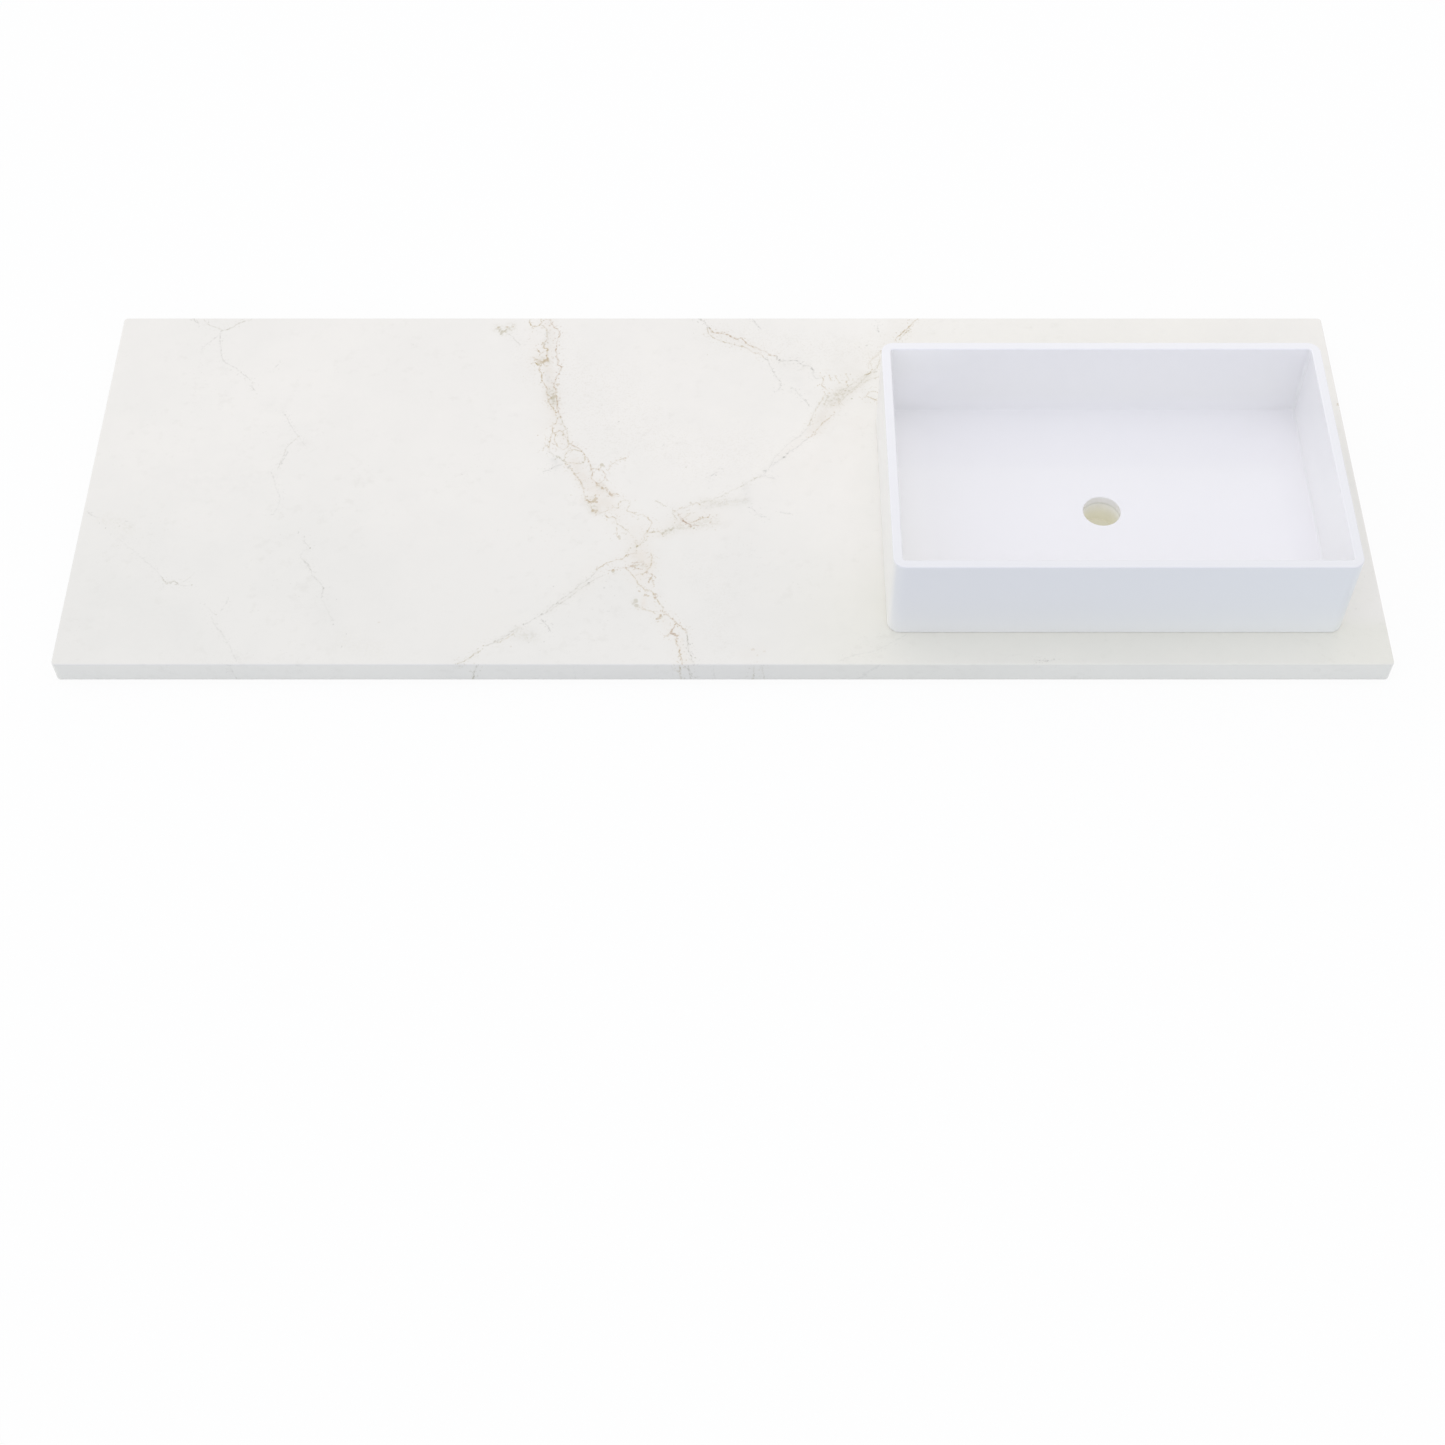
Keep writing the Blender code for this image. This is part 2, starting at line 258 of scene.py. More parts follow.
        (0.65, 0.56, 0.7, (
            (866, 374), (871.5, 370), (870, 362), (872, 358), (877, 355), (881, 351))),
        (0.5, 0.36, 0.7, ((872, 370), (876, 368), (879, 361), (880, 356))),
        (0.6, 0.85, 0.7, (
            (863, 397), (866.6, 394.5), (870, 391.5), (877, 391.3), (881, 396), (879, 400), (873, 399),
            (866.6, 396), (863, 397))),
        (0.45, 0.3, 0.9, ((824, 404), (827, 397), (831, 395), (835, 391), (838, 389.5))),
        (0.4, 0.17, 1, ((827, 404), (833, 398.5), (839, 400), (843, 394), (846, 391))),
        (0.45, 0.2, 0.8, ((830, 405), (836, 402), (840, 408))),
        (0.6, 0.75, 0.7, ((828.7, 374.5), (829.5, 377), (831, 379))),
        (0.6, 0.7, 0.7, ((834.3, 375), (838, 381), (840, 382))),
        (0.6, 0.6, 0.7, ((845, 381), (846, 383), (847, 385))),
        (0.55, 0.85, 0.7, ((846, 375), (847.5, 377.5), (849, 379.5))),
        (0.62, 0.95, 1.2, (
            (893.5, 340), (898, 335.5), (902, 332), (906.5, 328.7), (910, 324.7), (913, 321.5),
            (918, 318.3))),
        (0.55, 0.85, 0.9, ((898, 340.5), (901.5, 336), (905.5, 332), (909, 329))),
        (0.6, 0.6, 0.9, ((882, 349.5), (878, 352.5), (874, 356.5), (869.5, 361), (868, 366))),
        (0.42, 0.4, 1.5, (
            (846, 392.5), (850, 389.5), (855, 386.8), (860, 382), (864, 378), (868, 374.5))),
        (0.55, 0.48, 1, ((824.5, 393.5), (820, 402), (816, 408), (812.6, 414), (810, 420), (808, 425))),
    ),
    "upper_pair": (
        (0.2, 0.75, 0.9, ((697.5, 317.8), (699, 318.7), (702, 320), (706, 324), (709, 328))),
        (0.78, 0.85, 0.9, (
            (709, 328), (713, 332), (718, 332.5), (725, 333.5), (730, 335.5), (736, 339), (740, 337.5),
            (743, 340), (749, 345), (754, 346.5), (760, 349.5), (765, 351), (769, 354.5), (776, 355.3))),
        (0.1, 0.6, 0.9, (
            (776, 355.3), (778.5, 360), (785, 360.3), (795, 360), (800, 363), (804, 365), (808.4, 365.5),
            (812, 368.5), (812.8, 373), (815, 378), (820.3, 377.4))),
        (0.1, 0.28, 0.7, ((804, 365), (801, 368.5), (797, 370))),
        (0.6, 1, 0.8, ((820.3, 375), (823, 379.5), (821.7, 385), (827.3, 390))),
        (0.55, 0.78, 0.8, (
            (706.7, 328.2), (708.8, 334), (716, 338.5), (722, 341), (728, 342.5), (734, 344.5),
            (742.4, 345.7))),
        (0.72, 0.67, 0.8, ((742.4, 345.7), (748.8, 349), (753, 352.5), (758, 352.5), (763, 357))),
        (0.15, 0.52, 0.9, (
            (763, 357), (768, 361), (770, 366), (773, 372), (777, 378), (780, 382), (779.3, 388),
            (776, 390.5))),
        (0.1, 0.5, 0.8, ((790, 386.5), (795, 390), (800.7, 397), (805, 400), (809, 405.4))),
        (0.1, 0.45, 0.8, ((751.6, 318.8), (756, 324), (760.7, 329))),
        (0.1, 0.6, 1, ((877, 324), (877.3, 328), (877.8, 331.7))),
    ),
    "falling_pair": (
        (0.65, 0.6, 0.7, (
            (636, 552.7), (631, 553.2), (626.4, 555), (620.8, 558.7), (615.7, 559.3), (610, 561),
            (604, 563.5), (600.6, 566), (597, 568.5))),
        (0.25, 0.3, 0.9, (
            (597, 568.5), (592, 575), (588, 578.5), (583, 582), (579, 584), (575, 588), (570.7, 592.3),
            (565, 595.5), (561.5, 598.4), (556, 602.5), (550, 607), (546, 612), (541, 614), (534, 618),
            (530, 621), (523, 624.3))),
        (0.3, 0.42, 0.9, ((517, 627), (512, 631), (505, 636), (498, 639.5), (490, 643.5), (483, 645.5))),
        (0.5, 0.65, 1, ((479, 650), (473, 654), (468, 658), (460, 662), (457, 663.6))),
        (0.8, 0.62, 0.9, ((625, 566.8), (621, 567.8), (617.8, 569), (612.7, 569.4), (608.5, 570.5))),
        (0.3, 0.3, 0.9, (
            (603.8, 574.5), (596.7, 577.5), (592, 580), (588, 583), (583, 586), (580, 589))),
        (0.3, 0.31, 0.9, (
            (576.8, 590.5), (569.2, 596.5), (565, 600), (560.8, 602.5), (555, 606), (549, 611))),
        (0.6, 0.36, 0.8, ((515, 632), (510, 635.5), (505, 638.5), (500, 641.5), (495, 641.5))),
        (0.15, 0.5, 0.8, ((542, 620), (547, 625), (550, 631))),
    ),
    "left_end": (
        (0.1, 0.16, 1, (
            (118, 538), (126, 545), (133, 550), (140.5, 557), (150, 565), (157.3, 572), (162, 578))),
        (0.35, 0.55, 1, (
            (162, 578), (165, 581.5), (168, 583.3), (171, 581.5), (173.5, 580), (177.3, 583.5))),
        (0.2, 0.18, 0.6, ((177.3, 583.5), (184, 585.3), (191, 585))),
        (0.3, 0.16, 0.6, ((180, 582), (184, 580.5), (188, 578), (193, 574))),
        (0.15, 0.18, 0.9, ((205, 605), (210, 610), (215, 614))),
        (0.1, 0.22, 1.1, ((228.5, 597), (226, 602), (220, 611))),
        (0.1, 0.24, 0.8, (
            (211, 618), (214, 624), (222, 634), (229, 645), (233.5, 655), (236.5, 661))),
        (0.1, 0.24, 1, ((87, 511), (90, 514), (96, 517))),
    ),
    "left_middle": (
        (0.15, 1.2, 1.6, ((192, 318.3), (194.5, 320), (197.5, 322.5))),
        (0.35, 0.38, 0.9, ((204, 320), (207, 323), (211, 325.5), (214, 326.5), (219, 328), (221, 329.7))),
        (0.35, 0.43, 0.9, (
            (221, 329.7), (224, 330.5), (227, 328.7), (230, 328), (234, 325.5), (238, 323), (243, 321),
            (250, 319.5))),
        (0.15, 0.37, 0.9, (
            (221, 329.7), (219.8, 335), (219.7, 340), (220.5, 350), (221.5, 358), (224, 361),
            (230, 365), (236, 368), (243, 374), (247, 377), (250, 379.5))),
        (0.2, 0.58, 0.8, ((251, 385), (252.5, 388), (254.5, 389.7))),
        (0.15, 0.23, 0.8, ((219, 333), (214, 338), (210, 341), (206, 344), (201, 349))),
        (0.1, 0.28, 0.9, ((277.5, 364.5), (275.5, 366.5), (273.5, 368.5))),
        (0.15, 0.28, 0.9, ((281, 409), (286, 416), (290, 424), (295, 432), (298.5, 436))),
        (0.3, 0.25, 0.8, (
            (298.5, 436), (292, 441), (286, 447), (284, 452), (281, 460), (277.5, 468))),
        (0.1, 0.15, 0.7, ((298.5, 436), (303, 443), (306, 446))),
        (0.1, 0.4, 1.3, ((287, 451.5), (284, 457), (281, 463))),
        (0.15, 0.23, 1, (
            (271, 472), (274, 480), (275.5, 487), (279, 495), (279, 501), (276, 509), (273, 514),
            (270.5, 514.3))),
        (0.2, 0.22, 0.8, ((303.5, 536), (304, 541), (309.5, 547))),
        (0.2, 0.14, 0.8, ((309, 548), (304, 550), (300.5, 554), (300.5, 557), (304, 561))),
        (0.15, 0.34, 1.3, ((304, 561), (308, 564.5), (310.5, 570))),
        (0.15, 0.28, 0.8, ((310.5, 570), (312, 575), (316, 579), (323.3, 587), (322, 592), (320.5, 597))),
        (0.1, 0.1, 0.9, ((320.5, 597), (325, 606), (331.5, 619))),
    ),
    "right_front": (
        (0.1, 0.6, 0.9, ((1036, 659.6), (1044, 660.3), (1052, 660))),
        (0, 0.15, 1, ((838, 661), (852, 655), (875, 650), (906, 634))),
        (0, 0.06, 1.2, ((1006, 656), (1014, 654.5), (1022, 653.5))),
    ),
    "front_edge": (
        (0.15, 0.4, 0.8, ((229, 665.5), (232, 671), (236.5, 679))),
        (0.35, 0.84, 2, ((476, 665.2), (475, 668), (473.6, 672), (472.4, 679))),
        (0.5, 0.8, 1.4, ((679, 665.2), (679.5, 668), (680.5, 679))),
        (0.3, 0.68, 1.2, ((687.6, 665.2), (688.5, 670), (690.5, 679))),
        (0.4, 0.48, 1.5, ((754, 665.2), (753.5, 670), (752, 679))),
        (0.4, 0.42, 1.3, ((761, 665.2), (762.5, 671), (764, 679))),
        (0.35, 0.05, 1.6, ((745, 665.2), (745.5, 672), (744, 679))),
        (0, 0.22, 3, ((879, 665.2), (870, 670), (857, 679))),
        (0.2, 0.15, 1, ((713, 665.2), (713.5, 671), (715, 679))),
        (0.2, 0.14, 1, ((671, 665.2), (672, 671), (673, 679))),
        (0.1, 0.1, 1.5, ((573, 665.2), (574, 671), (575, 679))),
    ),
}

# Spots: (column, row, radius in millimetres, tone, strength)
SPOTS = (
    (562, 366, 1.2, 0.7, 0.7), (559, 383, 1.2, 0.7, 0.6), (553, 397, 2.6, 0.5, 0.55),
    (559, 400.6, 1.2, 0.7, 0.6), (532.3, 325.8, 1.3, 0.6, 0.8), (532.3, 331, 1.2, 0.6, 0.7),
    (545, 341, 1.3, 0.65, 0.8), (546.2, 354.5, 1.2, 0.95, 0.8), (546.7, 359, 2.1, 0.7, 0.9),
    (543.6, 360.6, 2.3, 0.62, 0.8), (538.5, 361.8, 2.4, 0.6, 0.5), (535, 359.6, 1.5, 0.6, 0.35),
    (546.5, 361, 1.8, 0.6, 0.5), (538.5, 370, 1.2, 0.95, 0.7), (545.2, 437.3, 1.4, 0.6, 0.8),
    (575.8, 446.7, 1.3, 0.6, 0.8), (564.9, 461.4, 1.5, 0.5, 0.8), (571.5, 469.8, 1.8, 0.4, 0.8),
    (596, 482.9, 1.5, 0.75, 0.9), (610, 494.3, 1.6, 0.97, 0.8), (601.4, 464.4, 2.8, 0.5, 0.65),
    (591.6, 454.6, 1.2, 0.6, 0.6), (593.8, 500.9, 2.8, 0.66, 0.62), (594.9, 495, 2.2, 0.62, 0.6),
    (599.3, 495, 1.3, 0.65, 0.6), (592.7, 510, 2.2, 0.65, 0.85), (606.3, 519.7, 1.2, 0.6, 0.7),
    (611.8, 523.2, 1.2, 0.6, 0.7), (636.8, 519, 1.1, 0.5, 0.6), (636.8, 545.6, 1.8, 0.45, 0.9),
    (631.9, 536.8, 1.2, 0.5, 0.7), (627, 537.6, 1.2, 0.5, 0.7), (623.2, 539.3, 1.2, 0.5, 0.7),
    (606.3, 532.5, 1.1, 0.5, 0.6), (610, 538.5, 1.1, 0.5, 0.6), (626, 554.8, 1.7, 0.55, 0.95),
    (620.5, 550, 1.2, 0.5, 0.7), (629.8, 547.2, 1.2, 0.5, 0.7), (571, 495, 2, 0.5, 0.35),
    (566.5, 483, 1.1, 0.5, 0.5), (612.7, 569.6, 1.8, 0.75, 0.9), (631, 566, 2.2, 0.8, 0.65),
    (646, 571, 1.4, 0.85, 0.7), (650.3, 577.5, 1.5, 0.75, 0.9), (638.8, 590.7, 1.7, 0.75, 0.9),
    (644.7, 593.3, 1.3, 0.6, 0.8), (648, 595.4, 1.2, 0.6, 0.7), (635.3, 600, 3.2, 0.42, 0.42),
    (636.2, 605.2, 2.8, 0.44, 0.42), (632.8, 602.7, 2.6, 0.45, 0.4), (656.7, 618.4, 1.8, 0.75, 0.85),
    (660, 632, 1.1, 0.6, 0.6), (659.7, 641.5, 1.1, 0.6, 0.6), (668.6, 638.5, 1.1, 0.6, 0.6),
    (672, 633.4, 1.6, 0.95, 0.95), (674.6, 624, 1.6, 0.65, 0.8), (670, 529.2, 2.2, 0.42, 0.6),
    (682.8, 520.2, 1.8, 0.95, 1), (673.5, 511, 1.3, 0.4, 0.9), (706.9, 500.8, 1.5, 0.4, 0.85),
    (699.5, 518.6, 1.5, 0.75, 0.85), (716, 514.6, 1.5, 0.85, 0.5), (710, 522, 1.5, 0.8, 0.5),
    (706.5, 530, 1.3, 0.7, 0.7), (714.5, 529.5, 1.2, 0.75, 0.5), (692, 533, 1.1, 0.5, 0.6),
    (693, 527.8, 1.4, 0.5, 0.6), (783.5, 457, 1.8, 0.1, 0.7), (786.5, 453, 1.4, 0.1, 0.6),
    (764, 470.5, 2.4, 0.05, 0.4), (811.5, 368.3, 2.1, 0.05, 1), (812.4, 373, 1.2, 0.05, 0.8),
    (842, 374.6, 1.4, 0.3, 0.9), (813, 431.5, 1.3, 0.85, 0.7), (827, 396, 2.6, 0.46, 0.34),
    (824, 403.5, 2, 0.5, 0.34), (839, 399, 2.4, 0.46, 0.34), (835, 394, 3, 0.46, 0.3),
    (851, 398, 1.5, 0.4, 0.6), (825, 394, 1.8, 0.5, 0.4), (831, 400, 1.8, 0.42, 0.34),
    (865, 374.5, 2.2, 0.48, 0.34), (730, 335.6, 1.4, 0.9, 0.9), (734, 344.3, 1.4, 0.95, 0.9),
    (711, 331.5, 1.6, 0.5, 0.8), (700, 318.8, 1.5, 0.15, 0.9), (779, 359.5, 1.8, 0.1, 0.7),
    (803, 364.5, 1.2, 0.1, 0.6), (692, 333, 1.2, 0.3, 0.6), (706.7, 354, 1.2, 0.5, 0.6),
    (701.7, 360, 1.1, 0.3, 0.5), (752.5, 649, 2.4, 0.8, 0.25), (757, 655, 1.8, 0.75, 0.22),
    (764, 651, 1.8, 0.7, 0.22), (498, 327, 2.2, 0.55, 0.7), (502.5, 328.5, 1.4, 0.45, 0.7),
    (506.5, 326.3, 2, 0.6, 0.7), (513, 326, 1.4, 0.6, 0.6), (500, 333.4, 1.8, 0.4, 0.55),
    (505.7, 332, 1.2, 0.45, 0.5), (522.6, 354, 1.1, 0.6, 0.5), (525.4, 355.5, 1.1, 0.6, 0.5),
    (523, 376, 1.1, 0.6, 0.4), (537.4, 435, 1.3, 0.75, 0.6), (618.5, 421, 1.4, 0.1, 0.5),
    (685.5, 466.5, 1.6, 0.4, 0.45), (663, 444, 2, 0.1, 0.35), (708.5, 487, 1.3, 0.1, 0.45),
    (510.5, 646, 1.4, 0.75, 0.8), (588, 583, 2, 0.2, 0.8), (557, 602.5, 1.8, 0.2, 0.6),
    (541.5, 613.7, 1.8, 0.15, 0.6), (523, 624, 1.3, 0.2, 0.7), (500, 641.3, 1.5, 0.5, 0.7),
    (483, 645.3, 1.3, 0.55, 0.7), (470, 657, 1.5, 0.45, 0.8), (523.5, 632.5, 1.3, 0.3, 0.55),
    (527.3, 637.5, 1.4, 0.4, 0.55), (531.5, 633.5, 1.2, 0.2, 0.5), (528, 642, 1.3, 0.2, 0.45),
    (543.5, 641, 1.1, 0.1, 0.4), (604, 587, 1.8, 0.1, 0.4), (614.5, 595, 1.5, 0.1, 0.35),
    (608, 611, 1.4, 0.1, 0.35), (553, 586, 1.3, 0.1, 0.4), (191, 584.6, 1.6, 0.4, 1),
    (200.5, 602.5, 1.6, 0.2, 0.65), (215, 613.8, 1.7, 0.35, 0.7), (233.5, 655, 1.7, 0.5, 0.65),
    (236.5, 661.5, 1.2, 0.3, 0.6), (100, 522.5, 2, 0.1, 0.55), (126, 520.5, 2.2, 0.15, 0.32),
    (118.5, 525, 1.6, 0.2, 0.45), (110, 534, 1.8, 0.1, 0.45), (105, 527.5, 1.4, 0.1, 0.4),
    (89.5, 526.5, 1.2, 0.3, 0.35), (88, 512, 1.6, 0.15, 0.6), (123, 514.5, 1.3, 0.1, 0.4),
    (221.3, 329.5, 1.6, 0.25, 0.95), (214, 337.8, 1.5, 0.2, 0.6), (249.7, 319.6, 1.5, 0.5, 0.7),
    (254.3, 389.6, 1.5, 0.4, 1), (202.5, 350.3, 1.4, 0.15, 0.45), (221, 354, 1.6, 0.15, 0.6),
    (298.4, 435.8, 1.4, 0.6, 0.8), (283, 516.5, 1.5, 0.75, 0.95), (298.3, 532, 1.9, 0.15, 0.4),
    (303.7, 535.8, 1.9, 0.15, 0.34), (309.5, 547.5, 1.4, 0.3, 0.75), (300, 562, 1.5, 0.1, 0.4),
    (308, 564.5, 1.9, 0.15, 0.38), (323.3, 587.5, 1.5, 0.15, 0.6), (331.5, 619.4, 1.9, 0.1, 0.8),
    (333, 623.5, 1.4, 0.1, 0.5), (346, 633, 1.5, 0.1, 0.6), (350.5, 641.3, 1.2, 0.2, 0.55),
    (330, 637, 1.3, 0.1, 0.45), (341.5, 646, 1.4, 0.1, 0.45), (327, 645.5, 1.2, 0.1, 0.4),
    (378.5, 622, 2.2, 0.75, 0.35), (364.7, 589.5, 1.8, 0.1, 0.45), (335.5, 599.5, 1.2, 0.1, 0.4),
    (370, 603, 1.2, 0.2, 0.4), (1337, 404, 2.4, 0.65, 0.55), (1171, 324, 1.6, 0.1, 0.3),
    (1364, 576, 1.2, 0.1, 0.3), (1355, 608, 1.2, 0.1, 0.3), (1361, 660, 1.4, 0.2, 0.3),
    (1375, 585, 1.2, 0.1, 0.3), (499, 330, 2.2, 0.42, 0.5), (501, 332, 2.3, 0.45, 0.6),
    (501, 335, 1.8, 0.42, 0.5), (503.5, 331, 1.9, 0.5, 0.55), (505, 330, 1.8, 0.42, 0.5),
    (508, 328, 1.8, 0.5, 0.45), (511, 330, 1.3, 0.42, 0.45), (514, 327, 1.4, 0.45, 0.45),
    (491, 327, 1.2, 0.8, 0.3), (530, 337, 1.1, 0.8, 0.35), (528, 339, 1.1, 0.8, 0.3),
    (517, 342, 1.5, 0.1, 0.35), (519, 345, 1.3, 0.1, 0.35), (526, 378, 1.1, 0.9, 0.3),
    (528, 381, 1.1, 0.9, 0.3), (544, 343.5, 1.8, 0.3, 0.6), (539, 343, 1.2, 0.6, 0.5),
    (535, 345, 1.1, 0.6, 0.4), (547, 350, 1.8, 0.62, 0.45), (547, 358.5, 2.6, 0.74, 0.62),
    (544, 361, 2.4, 0.72, 0.6), (540.5, 362, 2.4, 0.66, 0.6), (537.5, 364, 2.4, 0.55, 0.62),
    (534, 359.5, 1.8, 0.62, 0.45), (535.5, 362, 1.8, 0.6, 0.5), (545, 385, 1.5, 0.5, 0.45),
    (551, 398, 1.8, 0.45, 0.6), (553.5, 395.5, 1.8, 0.5, 0.6), (555.5, 394.5, 1.5, 0.6, 0.6),
    (554, 401, 1.8, 0.42, 0.6), (557.7, 362, 1.8, 0.7, 0.5), (561, 367, 2, 0.9, 0.32),
    (557, 384, 2.2, 0.65, 0.6), (555.5, 388, 1.5, 0.6, 0.6), (555.7, 392, 1.5, 0.6, 0.6),
    (556, 396, 1.5, 0.6, 0.6), (553, 408, 1.6, 0.62, 0.6), (545.5, 439, 1.2, 0.7, 0.55),
    (548.5, 441, 1.1, 0.7, 0.5), (545, 444, 1.4, 0.66, 0.5), (548, 446, 1.2, 0.66, 0.5),
    (542.5, 449.5, 1.3, 0.6, 0.5), (575, 426, 1.1, 0.85, 0.3), (578, 429, 1.1, 0.85, 0.3),
    (583, 431, 1.1, 0.85, 0.25), (588, 431, 1.1, 0.85, 0.25), (597, 434, 1.1, 0.85, 0.25),
    (600, 432, 1.1, 0.85, 0.25), (568, 467, 2, 0.3, 0.5), (570, 465.5, 1.6, 0.2, 0.45),
    (598.5, 469, 1.5, 0.62, 0.6), (603.5, 466, 1.5, 0.5, 0.5), (600, 467.5, 1.4, 0.62, 0.45),
    (625.5, 458, 1.3, 0.7, 0.6), (601.5, 487.5, 2, 0.7, 0.6), (606.5, 489, 2, 0.74, 0.62),
    (609, 492, 2.2, 0.74, 0.66), (611.5, 495, 2, 0.78, 0.58), (617.5, 494, 1.5, 0.9, 0.45),
    (595.5, 498, 2.6, 0.66, 0.6), (596, 501.5, 2.2, 0.7, 0.6), (589, 502, 2.2, 0.8, 0.6),
    (586.5, 499.5, 1.6, 0.8, 0.55), (595.5, 510.5, 2.4, 0.66, 0.6), (592, 511, 2, 0.7, 0.5),
    (601, 485, 1.1, 0.42, 0.5), (604, 483, 1.1, 0.42, 0.5), (619, 536, 2.2, 0.5, 0.42),
    (636, 541, 1.6, 0.42, 0.55), (642.5, 542, 1.5, 0.45, 0.6), (655, 501, 1.2, 0.6, 0.35),
    (660, 504, 1.2, 0.6, 0.35), (674, 510.5, 1.8, 0.75, 0.5), (704, 524, 1.3, 0.9, 0.45),
    (708, 527, 1.2, 0.85, 0.45), (712, 526, 1.1, 0.9, 0.4), (715, 523, 1.1, 0.85, 0.4),
    (665, 530.5, 2, 0.42, 0.5), (669, 528.5, 1.8, 0.42, 0.5), (673, 527.5, 1.6, 0.42, 0.45),
    (662, 533, 1.5, 0.42, 0.45), (651, 532, 1.5, 0.42, 0.6), (654, 530.5, 1.5, 0.42, 0.55),
    (657, 532, 1.4, 0.42, 0.55), (612.5, 571, 2.2, 0.45, 0.5), (634, 565.5, 2.2, 0.7, 0.5),
    (637.5, 564, 1.8, 0.6, 0.5), (632, 562.5, 1.5, 0.8, 0.45), (650, 578, 2.2, 0.72, 0.62),
    (648.5, 581.5, 1.6, 0.72, 0.6), (646, 572, 1.8, 0.75, 0.6), (653, 580, 1.5, 0.75, 0.6),
    (644.5, 595, 2.2, 0.7, 0.45), (655, 594, 2, 0.85, 0.62), (655, 597.5, 1.8, 0.9, 0.55),
    (662.5, 607, 1.6, 0.3, 0.55), (660, 615, 2.2, 0.8, 0.55), (674, 634, 2.4, 0.82, 0.62),
    (677, 635.5, 1.8, 0.8, 0.6), (668, 634, 1.6, 0.75, 0.5), (900, 338, 1.2, 0.6, 0.6),
    (905, 334, 1.3, 0.5, 0.55), (908, 332, 1.1, 0.1, 0.5), (911, 330, 1.1, 0.4, 0.4),
    (862, 338, 1.8, 0.1, 0.22), (866, 345, 2, 0.15, 0.25), (859, 347, 1.6, 0.1, 0.22),
    (868, 341, 1.5, 0.1, 0.22), (834, 412, 1.5, 0.75, 0.45), (831, 415, 1.5, 0.8, 0.45),
    (827, 419, 1.5, 0.75, 0.45), (824, 421.5, 1.3, 0.8, 0.5), (870, 358, 1.3, 0.62, 0.5),
    (873, 362, 1.3, 0.62, 0.5), (876, 366, 1.2, 0.62, 0.45), (871, 369, 1.3, 0.55, 0.45),
    (878, 361, 1.2, 0.6, 0.45), (845, 390, 1.6, 0.46, 0.5), (841, 391.5, 1.4, 0.5, 0.5),
    (838, 402, 1.4, 0.6, 0.45), (833, 405, 1.3, 0.62, 0.45), (843, 405, 1.3, 0.55, 0.45),
)

